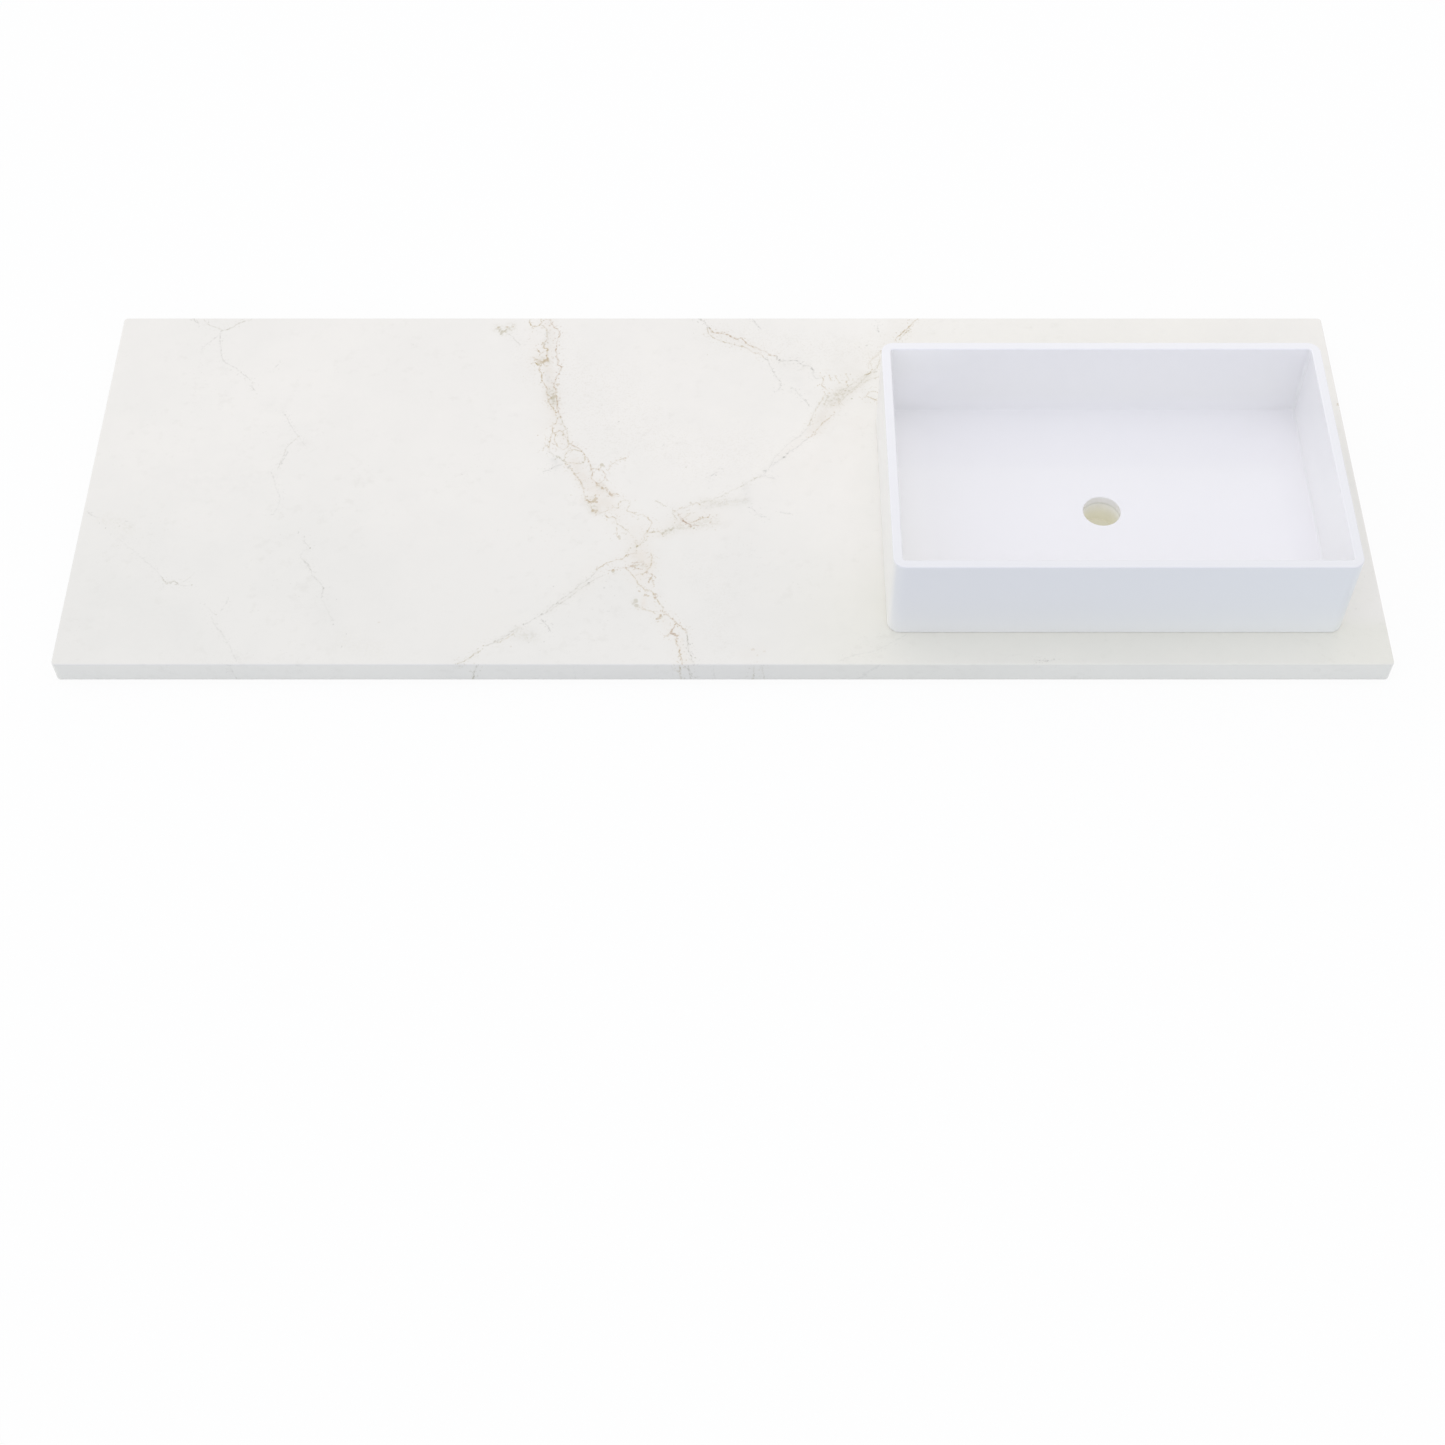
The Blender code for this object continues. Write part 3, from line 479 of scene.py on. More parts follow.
# Stains: soft bands, each as (kind, half width in millimetres, strength, route in columns and rows)
WARM, GREY, MOTTLED, GRAINY = range(4)
STAINS = (
    (WARM, 8, 0.55, ((547, 318), (550, 340), (547, 362), (550, 385), (552, 402), (557, 425), (560, 432))),
    (WARM, 10, 0.45, ((562, 442), (574, 458), (586, 478), (597, 493), (606, 503))),
    (WARM, 18, 0.28, ((600, 500), (618, 514), (634, 530), (640, 548), (640, 570))),
    (WARM, 10, 0.44, ((640, 570), (646, 590), (658, 610), (672, 628), (681, 648), (686, 664))),
    (WARM, 14, 0.3, ((640, 535), (662, 528), (684, 516), (700, 508))),
    (WARM, 20, 0.22, ((690, 520), (712, 518), (724, 520))),
    (WARM, 7, 0.35, ((536, 358), (547, 361))),
    (WARM, 8, 0.55, ((586, 500), (600, 488))),
    (WARM, 14, 0.22, ((530, 330), (534, 350), (540, 372), (546, 400), (546, 440))),
    (WARM, 10, 0.26, ((882, 362), (866, 374), (850, 385), (838, 395), (826, 408), (812, 428))),
    (WARM, 38, 0.22, ((900, 330), (872, 356), (850, 376))),
    (WARM, 30, 0.14, ((800, 470), (850, 430), (880, 410))),
    (WARM, 7, 0.2, ((812, 428), (796, 442), (782, 455))),
    (WARM, 6, 0.38, ((710, 332), (736, 340), (760, 352))),
    (WARM, 20, 0.15, ((640, 560), (600, 568), (560, 600))),
    (WARM, 25, 0.12, ((470, 640), (500, 620))),
    (WARM, 9, 0.22, ((745, 655), (760, 648))),
    (GREY, 8, 0.13, ((704, 506), (722, 503), (745, 501))),
    (GREY, 6, 0.25, ((744, 484), (745, 500))),
    (GREY, 5, 0.4, ((546, 374), (550, 382))),
    (GREY, 5, 0.35, ((548, 392), (552, 402))),
    (GREY, 5, 0.06, ((590, 580), (560, 600), (535, 617))),
    (GREY, 8, 0.28, ((514, 633), (530, 634))),
    (GREY, 10, 0.1, ((782, 366), (800, 385))),
    (GREY, 6, 0.15, ((764, 470), (782, 458))),
    (GREY, 8, 0.16, ((828, 398), (838, 398))),
    (GREY, 7, 0.06, ((822, 412), (812, 428))),
    (GREY, 10, 0.18, ((268, 405), (280, 408))),
    (GREY, 30, 0.12, ((190, 480), (245, 485))),
    (GREY, 45, 0.06, ((110, 600), (160, 625))),
    (GREY, 12, 0.1, ((320, 597), (330, 615))),
    (MOTTLED, 9, 0.46, ((828, 402), (840, 394))),
    (MOTTLED, 6, 0.22, ((842, 394), (858, 384), (872, 374))),
    (MOTTLED, 7, 0.05, ((824, 408), (816, 424))),
    (MOTTLED, 6, 0.7, ((551, 390), (554, 402))),
    (MOTTLED, 5, 0.45, ((541, 358), (547, 362))),
    (MOTTLED, 6, 0.55, ((590, 500), (593, 510))),
    (MOTTLED, 5, 0.15, ((597, 484), (610, 493))),
    (MOTTLED, 8, 0.28, ((706, 503), (722, 502))),
    (MOTTLED, 6, 0.25, ((722, 502), (745, 500))),
    (MOTTLED, 7, 0.4, ((664, 532), (676, 527), (700, 523), (714, 522))),
    (MOTTLED, 6, 0.12, ((636, 542), (628, 550), (640, 560))),
    (MOTTLED, 5, 0.25, ((634, 600), (638, 606))),
    (MOTTLED, 5, 0.1, ((588, 582), (560, 601), (540, 614))),
    (MOTTLED, 8, 0.28, ((518, 631), (532, 637))),
    (MOTTLED, 7, 0.52, ((498, 328), (503, 331), (512, 326))),
    (MOTTLED, 8, 0.1, ((776, 360), (804, 366))),
    (MOTTLED, 10, 0.15, ((105, 518), (128, 528))),
    (MOTTLED, 16, 0.08, ((345, 640), (375, 650))),
    (GREY, 4, 0.4, ((547, 333), (547, 343))),
    (WARM, 7, 0.4, ((546, 367), (548, 382))),
    (WARM, 6, 0.3, ((557, 414), (560, 424), (562, 432))),
    (GREY, 5, 0.15, ((558, 416), (562, 432))),
    (GREY, 5, 0.6, ((554, 459), (557, 466))),
    (WARM, 9, 0.45, ((573, 462), (580, 474), (587, 490), (593, 500))),
    (GREY, 6, 0.1, ((575, 468), (584, 484))),
    (WARM, 5, 0.15, ((660, 534), (668, 536))),
    (MOTTLED, 5, 0.35, ((637, 564), (646, 566))),
    (WARM, 12, 0.3, ((640, 545), (648, 560))),
    (WARM, 10, 0.3, ((636, 556), (648, 568))),
    (WARM, 3, 1, ((643, 599), (643, 607))),
    (WARM, 10, 0.35, ((838, 404), (826, 414), (816, 428))),
    (WARM, 4, 0.9, ((598, 485), (606, 489), (613, 495))),
    (WARM, 5, 0.9, ((594, 494), (595, 502), (595, 511))),
    (GRAINY, 45, 0.8, ((610, 380), (640, 430), (690, 460), (740, 450))),
    (GRAINY, 28, 0.9, ((720, 335), (780, 345), (840, 350), (880, 350))),
    (GRAINY, 30, 0.6, ((560, 340), (575, 400), (600, 440))),
    (GRAINY, 25, 0.5, ((690, 560), (720, 600), (720, 650))),
    (GRAINY, 20, 0.5, ((520, 340), (525, 380))),
)

# A strand's strength fades beyond its full reach, and its distance is recorded further out. Strands that
# share a layer lie further apart than that. Crumbs and stains are cut off at so many of their reaches
FULL_REACH = 3.0 * MILLIMETRE
LAST_REACH = 5.2 * MILLIMETRE
RECORD_REACH = 12.0 * MILLIMETRE
CRUMB_REACH = 7.0 * MILLIMETRE
CRUMB_CUT = 2.5
STAIN_CUT = 3.0
END_FADE = 1.5 * MILLIMETRE
LAYER_SPACING = 16.0 * MILLIMETRE
CURVE_STEPS = 4
SIDE_WEIGHT = 0.001

# Finishes, as linear colours, and the gains and colours that paint light and shade onto them
STONE_LIGHT = (0.950, 0.926, 0.882)
STONE_SHADE = (0.926, 0.905, 0.863)
# Painted light and shade on the stone: its colour is multiplied darker towards the front and ahead of the
# basin as painted shade, and lighter beside the basin, by its left wall and along the slab's edges as painted
# light
STONE_FRONT_PAINTED_SHADE = (0.953, 0.960, 0.963)
STONE_BESIDE_PAINTED_LIGHT = (1.022, 1.024, 1.024)
STONE_AT_WALL_PAINTED_LIGHT = (1.012, 1.014, 1.016)
STONE_AHEAD_PAINTED_SHADE = (0.945, 0.955, 0.925)
STONE_EDGE_PAINTED_LIGHT = (
    (-0.45, (1.060, 1.062, 1.030)),
    (0.00, (1.010, 1.012, 0.990)),
    (0.20, (1.022, 1.025, 1.022)),
    (0.52, (1.070, 1.074, 1.075)),
)
STONE_WARM = (0.880, 0.835, 0.770)
STONE_GREY = (0.690, 0.690, 0.660)
STONE_RAW = (0.800, 0.770, 0.640)
# The slab's bore wall: the sawn stone's own cream, painted far lighter than the sawn underside and nearly
# white towards its top, which is painted light
STONE_BORE = (0.975, 0.960, 0.870)
STONE_BORE_TOP_PAINTED_LIGHT = (1.000, 0.995, 0.975)
STRAND_TONES = (
    (0.00, (0.330, 0.335, 0.310)),
    (0.20, (0.310, 0.290, 0.240)),
    (0.42, (0.340, 0.300, 0.130)),
    (0.60, (0.460, 0.330, 0.110)),
    (0.80, (0.420, 0.260, 0.090)),
    (1.00, (0.330, 0.150, 0.045)),
)
MOTTLE_COLOUR = (0.430, 0.375, 0.200)
MOTTLE_FILL = 0.10
SPECK_COLOUR = (0.420, 0.390, 0.320)
GRAIN_COLOUR = (0.520, 0.450, 0.340)
# Inside the basin the glaze is painted lighter towards the walls' foot, towards the left wall and in the back
# left corner, where shade falls: painted light. The second colour is the glaze where nothing is lifted
GLAZE_LIFTED_BY_PAINTED_LIGHT = (0.989, 0.987, 0.996)
GLAZE_INSIDE_UNLIFTED = (0.912, 0.910, 0.925)
GLAZE_CORNER_PAINTED_LIGHT = (1.000, 0.997, 1.000)
GLAZE_FLOOR_SHARE = 0.45
# Painted light on the floor, and painted shade on the back wall and the right wall
GLAZE_FLOOR_PAINTED_LIGHT = (1.003, 1.000, 1.010)
GLAZE_FLOOR_FRONT_PAINTED_LIGHT = (1.008, 1.003, 1.030)
GLAZE_BACK_PAINTED_SHADE = (0.968, 0.971, 0.955)
GLAZE_RIGHT_PAINTED_SHADE = (0.970, 0.968, 0.972)
# The rim is painted darker at the front and lighter at the back: painted shade and painted light
GLAZE_RIM_FRONT_PAINTED_SHADE = (0.880, 0.882, 0.910)
GLAZE_RIM_BACK_PAINTED_LIGHT = (0.948, 0.945, 0.970)
# Outside, the glaze is painted darker at the left and lighter to the right, and lighter towards the foot where
# shade falls: painted light and shade
GLAZE_OUTSIDE_LEFT_PAINTED_SHADE = (0.848, 0.857, 0.872)
GLAZE_OUTSIDE_RIGHT_PAINTED_LIGHT = (0.879, 0.900, 0.913)
GLAZE_FOOT_PAINTED_LIGHT = (1.035, 1.030, 0.990)
# The left flank's colour is a painted warm reflection of the stone beside it
GLAZE_FLANK_PAINTED_REFLECTION = (0.930, 0.922, 0.905)
GLAZE_INSIDE_GLOSS = 0.02
GLAZE_OUTSIDE_GLOSS = 0.30
GLAZE_ROUND_GLOSS = 0.25
BISQUE_COLOUR = (0.800, 0.775, 0.720)
SILICONE_COLOUR = (0.820, 0.820, 0.800)
SILICONE_SHADE = 0.95
PLAIN_WHITE = (1.0, 1.0, 1.0)

# Masks over the slab, which place its painted light and shade, each as (axis, place where it is least,
# place where it is full). A mask's least is none unless it is given
STONE_TOWARDS_BASIN = ("X", 0.0, BASIN_LEFT)
STONE_FORWARD = ("Y", 0.080, -0.210)
STONE_LEFT_OF_BASIN = ("X", BASIN_LEFT + 0.04, BASIN_LEFT + 0.01)
STONE_NEARING = ("Y", BASIN_FRONT + 0.17, BASIN_FRONT)
STONE_AHEAD = ("Y", BASIN_FRONT + 0.03, BASIN_FRONT)
STONE_BESIDE = ("X", BASIN_RIGHT, BASIN_CENTRE[0] - 0.1)
STONE_BESIDE_LEAST = 0.2
STONE_AT_WALL = ("X", BASIN_LEFT - 0.03, BASIN_LEFT)
STONE_BACKWARD = ("Y", BASIN_FRONT + 0.04, BASIN_FRONT + 0.14)
STONE_ON_EDGE = ("Z", SLAB_TOP - SLAB_ARRIS / 2, SLAB_TOP - 2 * SLAB_ARRIS)
STONE_RISEN = ("Z", SLAB_TOP / 3, SLAB_TOP)

# Masks over the basin, which place its painted light and shade, in the same form. The right wall's is the
# product of several
INNER_LEFT = BASIN_LEFT + BASIN_WALL
INNER_RIGHT = BASIN_RIGHT - BASIN_WALL
INNER_BACK = BASIN_BACK - BASIN_WALL
FLOOR_EDGE = BASIN_FOOT + BASIN_FLOOR_TOP + BASIN_FLOOR_FALL
GLAZE_LOW = ("Z", BASIN_TOP - BASIN_RIM_ROUND, BASIN_FOOT + BASIN_FLOOR_TOP)
GLAZE_LEFT_LIFT = ("X", INNER_LEFT + 0.13, INNER_LEFT)
GLAZE_IN_CORNER = ("X", INNER_LEFT + 0.05, INNER_LEFT)
GLAZE_ON_FLOOR = ("Z", FLOOR_EDGE + BASIN_FLOOR_FILLET, FLOOR_EDGE)
GLAZE_FLOOR_AHEAD = ("Y", BASIN_CENTRE[1] + 0.09, BASIN_FRONT + 0.11)
GLAZE_ON_BACK = ("Y", INNER_BACK - BASIN_FLOOR_FILLET, INNER_BACK)
GLAZE_BACK_RIGHTWARD = ("X", INNER_LEFT + 0.02, INNER_LEFT + 0.12)
GLAZE_BACK_LEFTWARD = ("X", BASIN_RIGHT - 0.015, BASIN_RIGHT - 0.06)
GLAZE_BACK_LEAST = 0.4
GLAZE_BACK_HIGH = ("Z", BASIN_FOOT + 0.05, BASIN_FOOT + 0.095)
GLAZE_BACK_UPWARD = ("Z", BASIN_FOOT + 0.015, BASIN_FOOT + 0.045)
GLAZE_ON_RIGHT = (
    ("X", INNER_RIGHT - BASIN_FLOOR_FILLET, INNER_RIGHT),
    ("Y", -0.10, -0.05),
    ("Z", BASIN_FOOT + 0.04, BASIN_FOOT + 0.08),
    ("Y", INNER_BACK - 0.02, INNER_BACK - 0.06),
)
GLAZE_ACROSS = ("X", BASIN_LEFT, BASIN_RIGHT)
GLAZE_BACKWARD = ("Y", BASIN_FRONT, BASIN_BACK)
GLAZE_FALLEN = ("Z", BASIN_TOP - BASIN_RIM_ROUND, BASIN_FOOT)
GLAZE_ON_FLANK = ("X", BASIN_LEFT + BASIN_CORNER_RADIUS / 3, BASIN_LEFT + BASIN_CORNER_RADIUS / 20)
GLAZE_FOOT_POWER = 2.5
GLAZE_FOOT_LIGHT_POWER = 4

# The stone's noises, each as (shift, scale, detail, roughness)
STONE_NOISES = {
    "drift": ((3.1, 0.7, 0.0), 42.0, 4.0, 0.62),
    "fine_drift": ((0.0, 5.3, 0.0), 150.0, 3.0, 0.6),
    "clump": ((7.7, 2.2, 0.0), 260.0, 3.0, 0.65),
    "grit": ((6.1, 4.9, 0.0), 270.0, 3.0, 0.6),
    "coarse": ((1.3, 9.1, 0.0), 170.0, 2.0, 0.5),
    "fine": ((4.4, 0.2, 0.0), 480.0, 2.0, 0.5),
    "along": ((8.2, 6.6, 0.0), 80.0, 3.0, 0.6),
    "beads": ((0.9, 7.3, 0.0), 230.0, 2.0, 0.6),
    "where": ((2.9, 3.8, 0.0), 11.0, 3.0, 0.6),
    "blots": ((5.5, 1.9, 0.0), 85.0, 3.0, 0.55),
    "raw": ((0.4, 0.4, 0.4), 120.0, 5.0, 0.65),
}
NOISE_MIDDLE = 0.5

# Other noises, each as (scale unless it is worked out, detail, roughness, distortion) as far as given, the
# warps, each as (scale, amount), and the scales of cell patterns
CLOUDS_WIDE_NOISE = (3.0, 0.55, 0.4)
CLOUDS_CLOSE_NOISE = (3.0, 0.6)
CLOUDS_CLOSER = 5.3
CLOUDS_WIDE_SHARE = 0.65
SMEAR_WARP = (6.0, 0.05)
SMEAR_NOISE = (9.0, 4.0, 0.6)
BENT_WARP = (70.0, 0.012)
WEB_SCALE = 150.0
SPECK_SCALE = 170.0
GLAZE_DRIFT_NOISE = (7.0, 3.0, 0.55, 0.4)
GLAZE_RIM_NOISE = 60.0
PINHOLE_SCALE = 38.0
BISQUE_NOISE = (900.0, 3.0, 0.7)

# Ranges: a value that goes from the first number to the second gives one from the third to the fourth, and
# where these aren't given, from none to one
CLOUDS_RANGE = (0.36, 0.64)
SMEAR_RANGE = (0.45, 0.75)
STRAND_BREATH = (0.32, 0.66, 0.35, 1.05)
STRAND_BROKEN = (0.32, 0.58, 0.28, 1.0)
STRAND_BEADED = (0.38, 0.62, 0.22, 1.15)
STRAND_HALO = (0.0, 3.0, 0.06, 0.0)
WARM_PATCHES = (0.30, 0.70, 0.35, 1.25)
GREY_PATCHES = (0.34, 0.66, 0.15, 0.75)
WEB_LINE = (0.02, 0.20, 1.0, 0.0)
WEB_BROKEN = (0.38, 0.60, 0.0, 0.45)
MOTTLE_CLUMPS = (0.46, 0.66, 0.0, 0.50)
CRUMB_RANGE = (0.56, 0.70, 0.0, 0.60)
SPOT_EDGE = (-0.55, 0.75)
SPECK_SIZE = (0.05, 0.17, 1.0, 0.0)
SPECK_PLACES = (0.46, 0.72, 0.0, 0.16)
BLOT_RANGE = (0.52, 0.74)
BLOT_PLACES = (0.40, 0.66, 0.01, 0.07)
GRAIN_RANGE = (0.46, 0.72, 0.0, 0.13)
RAW_RANGE = (0.3, 0.7)
GLAZE_DRIFT = (0.3, 0.7, -0.05, 0.05)
GLAZE_RIM_RANGE = (0.30, 0.70, 0.88, 1.0)
PINHOLE_SIZE = (0.010, 0.022, 0.35, 0.0)
BISQUE_RANGE = (0.3, 0.7, 0.0, 0.25)

# Vein details. Shakes and edges are in millimetres
STRAND_CORE = 0.15
STRAND_EDGE = 0.55
STRAND_SHARE = 0.62
COARSE_SHAKE = 4.2
FINE_SHAKE = 2.0
SPOT_SHAKE = 3.6
SPOT_SHARE = 0.62
CRUMB_TONE_SWING = 1.2
RAW_STAIN = 0.35
BORE_STAIN = 0.10

# Gloss and relief. A bump is (strength, distance in metres)
STONE_CLOUDS = 5.0
STONE_GLOSS = 0.10
STONE_SMEAR = 0.05
STONE_WAVES = 14.0
STONE_WAVE_SHARE = 0.5
STONE_BUMP = (0.25, 0.0004)
VEIN_ROUGHER = 0.12
VEIN_DEPTH_SHARE = 0.06
SAWN_ROUGHNESS = 0.7
SAWN_RELIEF_SHARE = 1.2
GLAZE_SMEAR = 0.01
GLAZE_WAVES = 22.0
GLAZE_WAVE_SHARE = 0.3
GLAZE_IOR = 1.72
GLAZE_BUMP = (0.04, 0.0003)
BISQUE_ROUGHNESS = 0.75
BISQUE_RELIEF_SHARE = 0.5
SILICONE_CLOUDS = 30.0
SILICONE_GLOSS = 0.38
SILICONE_SMEAR = 0.12
SILICONE_WAVES = 180.0
SILICONE_BUMP = (0.4, 0.0003)

# Light
SKY_EVEN = (0.830, 0.840, 0.817)
SKY_LEFT = (0.287, 0.298, 0.308)
SKY_FRONT = (0.010, 0.020, 0.190)
LAMP_PLACE = (0.15, 0.60, 2.43)
LAMP_SIDE = 1.5
LAMP_WATTS = 2.4
LAMP_COLOUR = (1.0, 0.70, 1.0)
FLOOR_COLOUR = (0.610, 0.630, 0.640)
FLOOR_UNDER_BORE = (0.610, 0.585, 0.455)
FLOOR_SHADOW_SHARE = 0.10
FLOOR_HALF = 20.0
FLOOR_DROP = 0.0004


def photo_rays(places):
    """Directions from the camera through photograph pixels: each is turned up by the camera's tilt."""
    focal = CAMERA_LENS / CAMERA_SENSOR * PHOTO_SIZE
    across = (places[:, 0] - PHOTO_MIDDLE) / focal
    up = (PHOTO_MIDDLE - places[:, 1]) / focal
    forward = up * math.cos(CAMERA_TILT) + math.sin(CAMERA_TILT)
    height = up * math.sin(CAMERA_TILT) - math.cos(CAMERA_TILT)
    return np.stack([across, forward, height], axis=1)


def slab_pattern_places(places):
    """Pattern places, in metres, of photograph pixels on the slab.

    A ray that meets the top within the slab gives its x and y there. One that meets it before the front
    edge goes on to the front face, which counts as folded up into the plane of the top."""
    rays = photo_rays(np.asarray(places, dtype=float))
    camera = np.array(CAMERA_PLACE)
    top = camera + rays * ((SLAB_TOP - camera[2]) / rays[:, 2])[:, None]
    front = camera + rays * ((-SLAB_HALF[1] - camera[1]) / rays[:, 1])[:, None]
    folded = np.stack([front[:, 0], front[:, 1] - (SLAB_TOP - front[:, 2])], axis=1)
    return np.where((top[:, 1] >= -SLAB_HALF[1])[:, None], top[:, :2], folded)


def smooth_route(points):
    """A curve through every point: each stretch is the cubic whose end slopes are half the step between
    the two neighbours, sampled at equal steps."""
    before = np.vstack([points[:1], points[:-1]])
    after = np.vstack([points[1:], points[-1:]])
    slope = (after - before) / 2
    t = (np.arange(CURVE_STEPS) / CURVE_STEPS)[None, :, None]
    start, end = points[:-1, None], points[1:, None]
    start_slope, end_slope = slope[:-1, None], slope[1:, None]
    curve = (
        (2 * t**3 - 3 * t**2 + 1) * start
        + (t**3 - 2 * t**2 + t) * start_slope
        + (3 * t**2 - 2 * t**3) * end
        + (t**3 - t**2) * end_slope
    )
    return np.vstack([curve.reshape(-1, 2), points[-1:]])


def signed_distance(places, line):
    """Each place's distance from a line of straight stretches, negative on its right-hand side.

    The distance is to the clipped projection on the nearest stretch. Where two stretches are as near, the
    one that sees the place more from the side decides the sign. Also gives how far past an end it lies."""
    step = np.diff(line, axis=0)
    length = np.hypot(step[:, 0], step[:, 1])
    offset = places[:, None] - line[:-1]
    along = (offset * step).sum(axis=2) / length**2
    gap = offset - np.clip(along, 0, 1)[..., None] * step
    distance = np.hypot(gap[..., 0], gap[..., 1])
    side = (step[:, 0] * offset[..., 1] - step[:, 1] * offset[..., 0]) / length
    nearest = np.argmin(distance - SIDE_WEIGHT * np.abs(side), axis=1)
    row = np.arange(len(places))
    sign = np.where(side[row, nearest] < 0, -1.0, 1.0)
    past_start = np.where(nearest == 0, -along[:, 0] * length[0], 0)
    past_end = np.where(nearest == len(step) - 1, (along[:, -1] - 1) * length[-1], 0)
    if np.allclose(line[0], line[-1]):
        past_start = past_end = np.zeros(len(places))
    return sign * distance[row, nearest], np.maximum(0, np.maximum(past_start, past_end))


def near(places, line, reach):
    """Which places lie in the box round a line, widened by a reach."""
    low, high = line.min(axis=0) - reach, line.max(axis=0) + reach
    return np.flatnonzero(((places >= low) & (places <= high)).all(axis=1))


def strand_layers():
    """The strands sorted into layers, so that no two in a layer come near each other."""
    layers = []
    for tone, strength, half_width, route in (strand for group in STRANDS.values() for strand in group):
        line = smooth_route(slab_pattern_places(route))
        for layer in layers:
            gaps = [np.hypot(*(line[:, None] - other[3][None]).transpose(2, 0, 1)).min() for other in layer]
            if min(gaps) > LAYER_SPACING:
                layer.append((tone, strength, half_width, line))
                break
        else:
            layers.append([(tone, strength, half_width, line)])
    return layers


def strand_field(places, layer):
    """For each place: signed distance in millimetres, strength and tone of the layer's nearest strand, and
    that strand's half width in millimetres."""
    distance = np.full(len(places), RECORD_REACH)
    strength = np.zeros(len(places))
    tone = np.zeros(len(places))
    width = np.ones(len(places))
    for strand_tone, strand_strength, half_width, line in layer:
        chosen = near(places, line, RECORD_REACH)
        found, past = signed_distance(places[chosen], line)
        nearer = np.abs(found) < np.abs(distance[chosen])
        chosen, found, past = chosen[nearer], found[nearer], past[nearer]
        fade = np.clip((LAST_REACH - np.abs(found)) / (LAST_REACH - FULL_REACH), 0, 1)
        distance[chosen] = found
        strength[chosen] = strand_strength * fade * np.clip(1 - past / END_FADE, 0, 1)
        tone[chosen] = strand_tone
        width[chosen] = half_width
    return np.stack([distance / MILLIMETRE, strength, tone], axis=1), width


def crumb_field(places, layers):
    """For each place: the largest, over the strands, of strength times exp(-(distance / reach) squared),
    with that strand's tone."""
    amount = np.zeros(len(places))
    tone = np.zeros(len(places))
    for strand_tone, strand_strength, _, line in (strand for layer in layers for strand in layer):
        chosen = near(places, line, CRUMB_CUT * CRUMB_REACH)
        distance, _ = signed_distance(places[chosen], line)
        found = strand_strength * np.exp(-((distance / CRUMB_REACH) ** 2))
        more = found > amount[chosen]
        amount[chosen[more]] = found[more]
        tone[chosen[more]] = strand_tone
    return np.stack([amount, tone, np.zeros(len(places))], axis=1)


def spot_field(places):
    """For each place: how deep it lies inside the nearest spot, in millimetres and negative outside, with
    that spot's strength and tone."""
    depth = np.full(len(places), -LAST_REACH)
    strength = np.zeros(len(places))
    tone = np.zeros(len(places))
    centres = slab_pattern_places([spot[:2] for spot in SPOTS])
    for centre, (_, _, radius, spot_tone, spot_strength) in zip(centres, SPOTS):
        chosen = near(places, centre[None], radius * MILLIMETRE + FULL_REACH)
        gap = places[chosen] - centre
        found = radius * MILLIMETRE - np.hypot(gap[:, 0], gap[:, 1])
        deeper = found > depth[chosen]
        chosen, found = chosen[deeper], found[deeper]
        depth[chosen] = found
        strength[chosen] = spot_strength
        tone[chosen] = spot_tone
    return np.stack([depth / MILLIMETRE, strength, tone], axis=1)


def stain_field(places):
    """Warm, grey, mottled and grainy stain of each place: the sum, over the soft bands, of the band's
    strength times exp(-(distance / half width) squared)."""
    stains = np.zeros((len(places), GRAINY + 1))
    for kind, half_width, strength, route in STAINS:
        line = slab_pattern_places(route)
        width = half_width * MILLIMETRE
        chosen = near(places, line, STAIN_CUT * width)
        distance, _ = signed_distance(places[chosen], line)
        stains[chosen, kind] += strength * np.exp(-((distance / width) ** 2))
    return np.minimum(stains, 1)


def put_mesh(name, points, faces):
    """One mesh object at the origin, from points and from faces of four corners.

    A face with a corner index of -1 has three corners."""
    faces = np.asarray(faces)
    kept = faces >= 0
    counts = kept.sum(axis=1)
    mesh = bpy.data.meshes.new(name)
    mesh.vertices.add(len(points))
    mesh.vertices.foreach_set("co", np.asarray(points, dtype=np.float32).ravel())
    mesh.loops.add(int(counts.sum()))
    mesh.loops.foreach_set("vertex_index", faces[kept].astype(np.int32))
    mesh.polygons.add(len(faces))
    mesh.polygons.foreach_set("loop_start", (np.cumsum(counts) - counts).astype(np.int32))
    mesh.update(calc_edges=True)
    mesh.validate()
    mesh.shade_smooth()
    mesh.set_sharp_from_angle(angle=SHARP_FROM)
    piece = bpy.data.objects.new(name, mesh)
    bpy.context.scene.collection.objects.link(piece)
    return piece


def put_attribute(piece, name, values):
    """One value or one triple for each vertex."""
    triple = values.ndim == 2
    layer = piece.data.attributes.new(name, "FLOAT_VECTOR" if triple else "FLOAT", "POINT")
    layer.data.foreach_set("vector" if triple else "value", values.astype(np.float32).ravel())


def at_height(plan, height):
    """The points of a plan, all at one height."""
    return np.column_stack([plan, np.full(len(plan), height)])


def directions(turns):
    """Directions in the plan, each the cosine and sine of its turn."""
    return np.stack([np.cos(turns), np.sin(turns)], axis=1)


def unit(arms):
    """Arms in the plan, each divided by its length."""
    return arms / np.hypot(arms[:, 0], arms[:, 1])[:, None]


def strip(lower, upper):
    """Faces between two closed rings of vertex numbers. Where two of a face's corners are one vertex, it has
    three."""
    next_lower, next_upper = np.roll(lower, -1), np.roll(upper, -1)
    faces = np.stack([lower, next_lower, next_upper, upper], axis=1)
    pinched = lower == next_lower
    faces[pinched] = np.stack([lower, next_upper, upper, np.full_like(lower, -1)], axis=1)[pinched]
    return faces


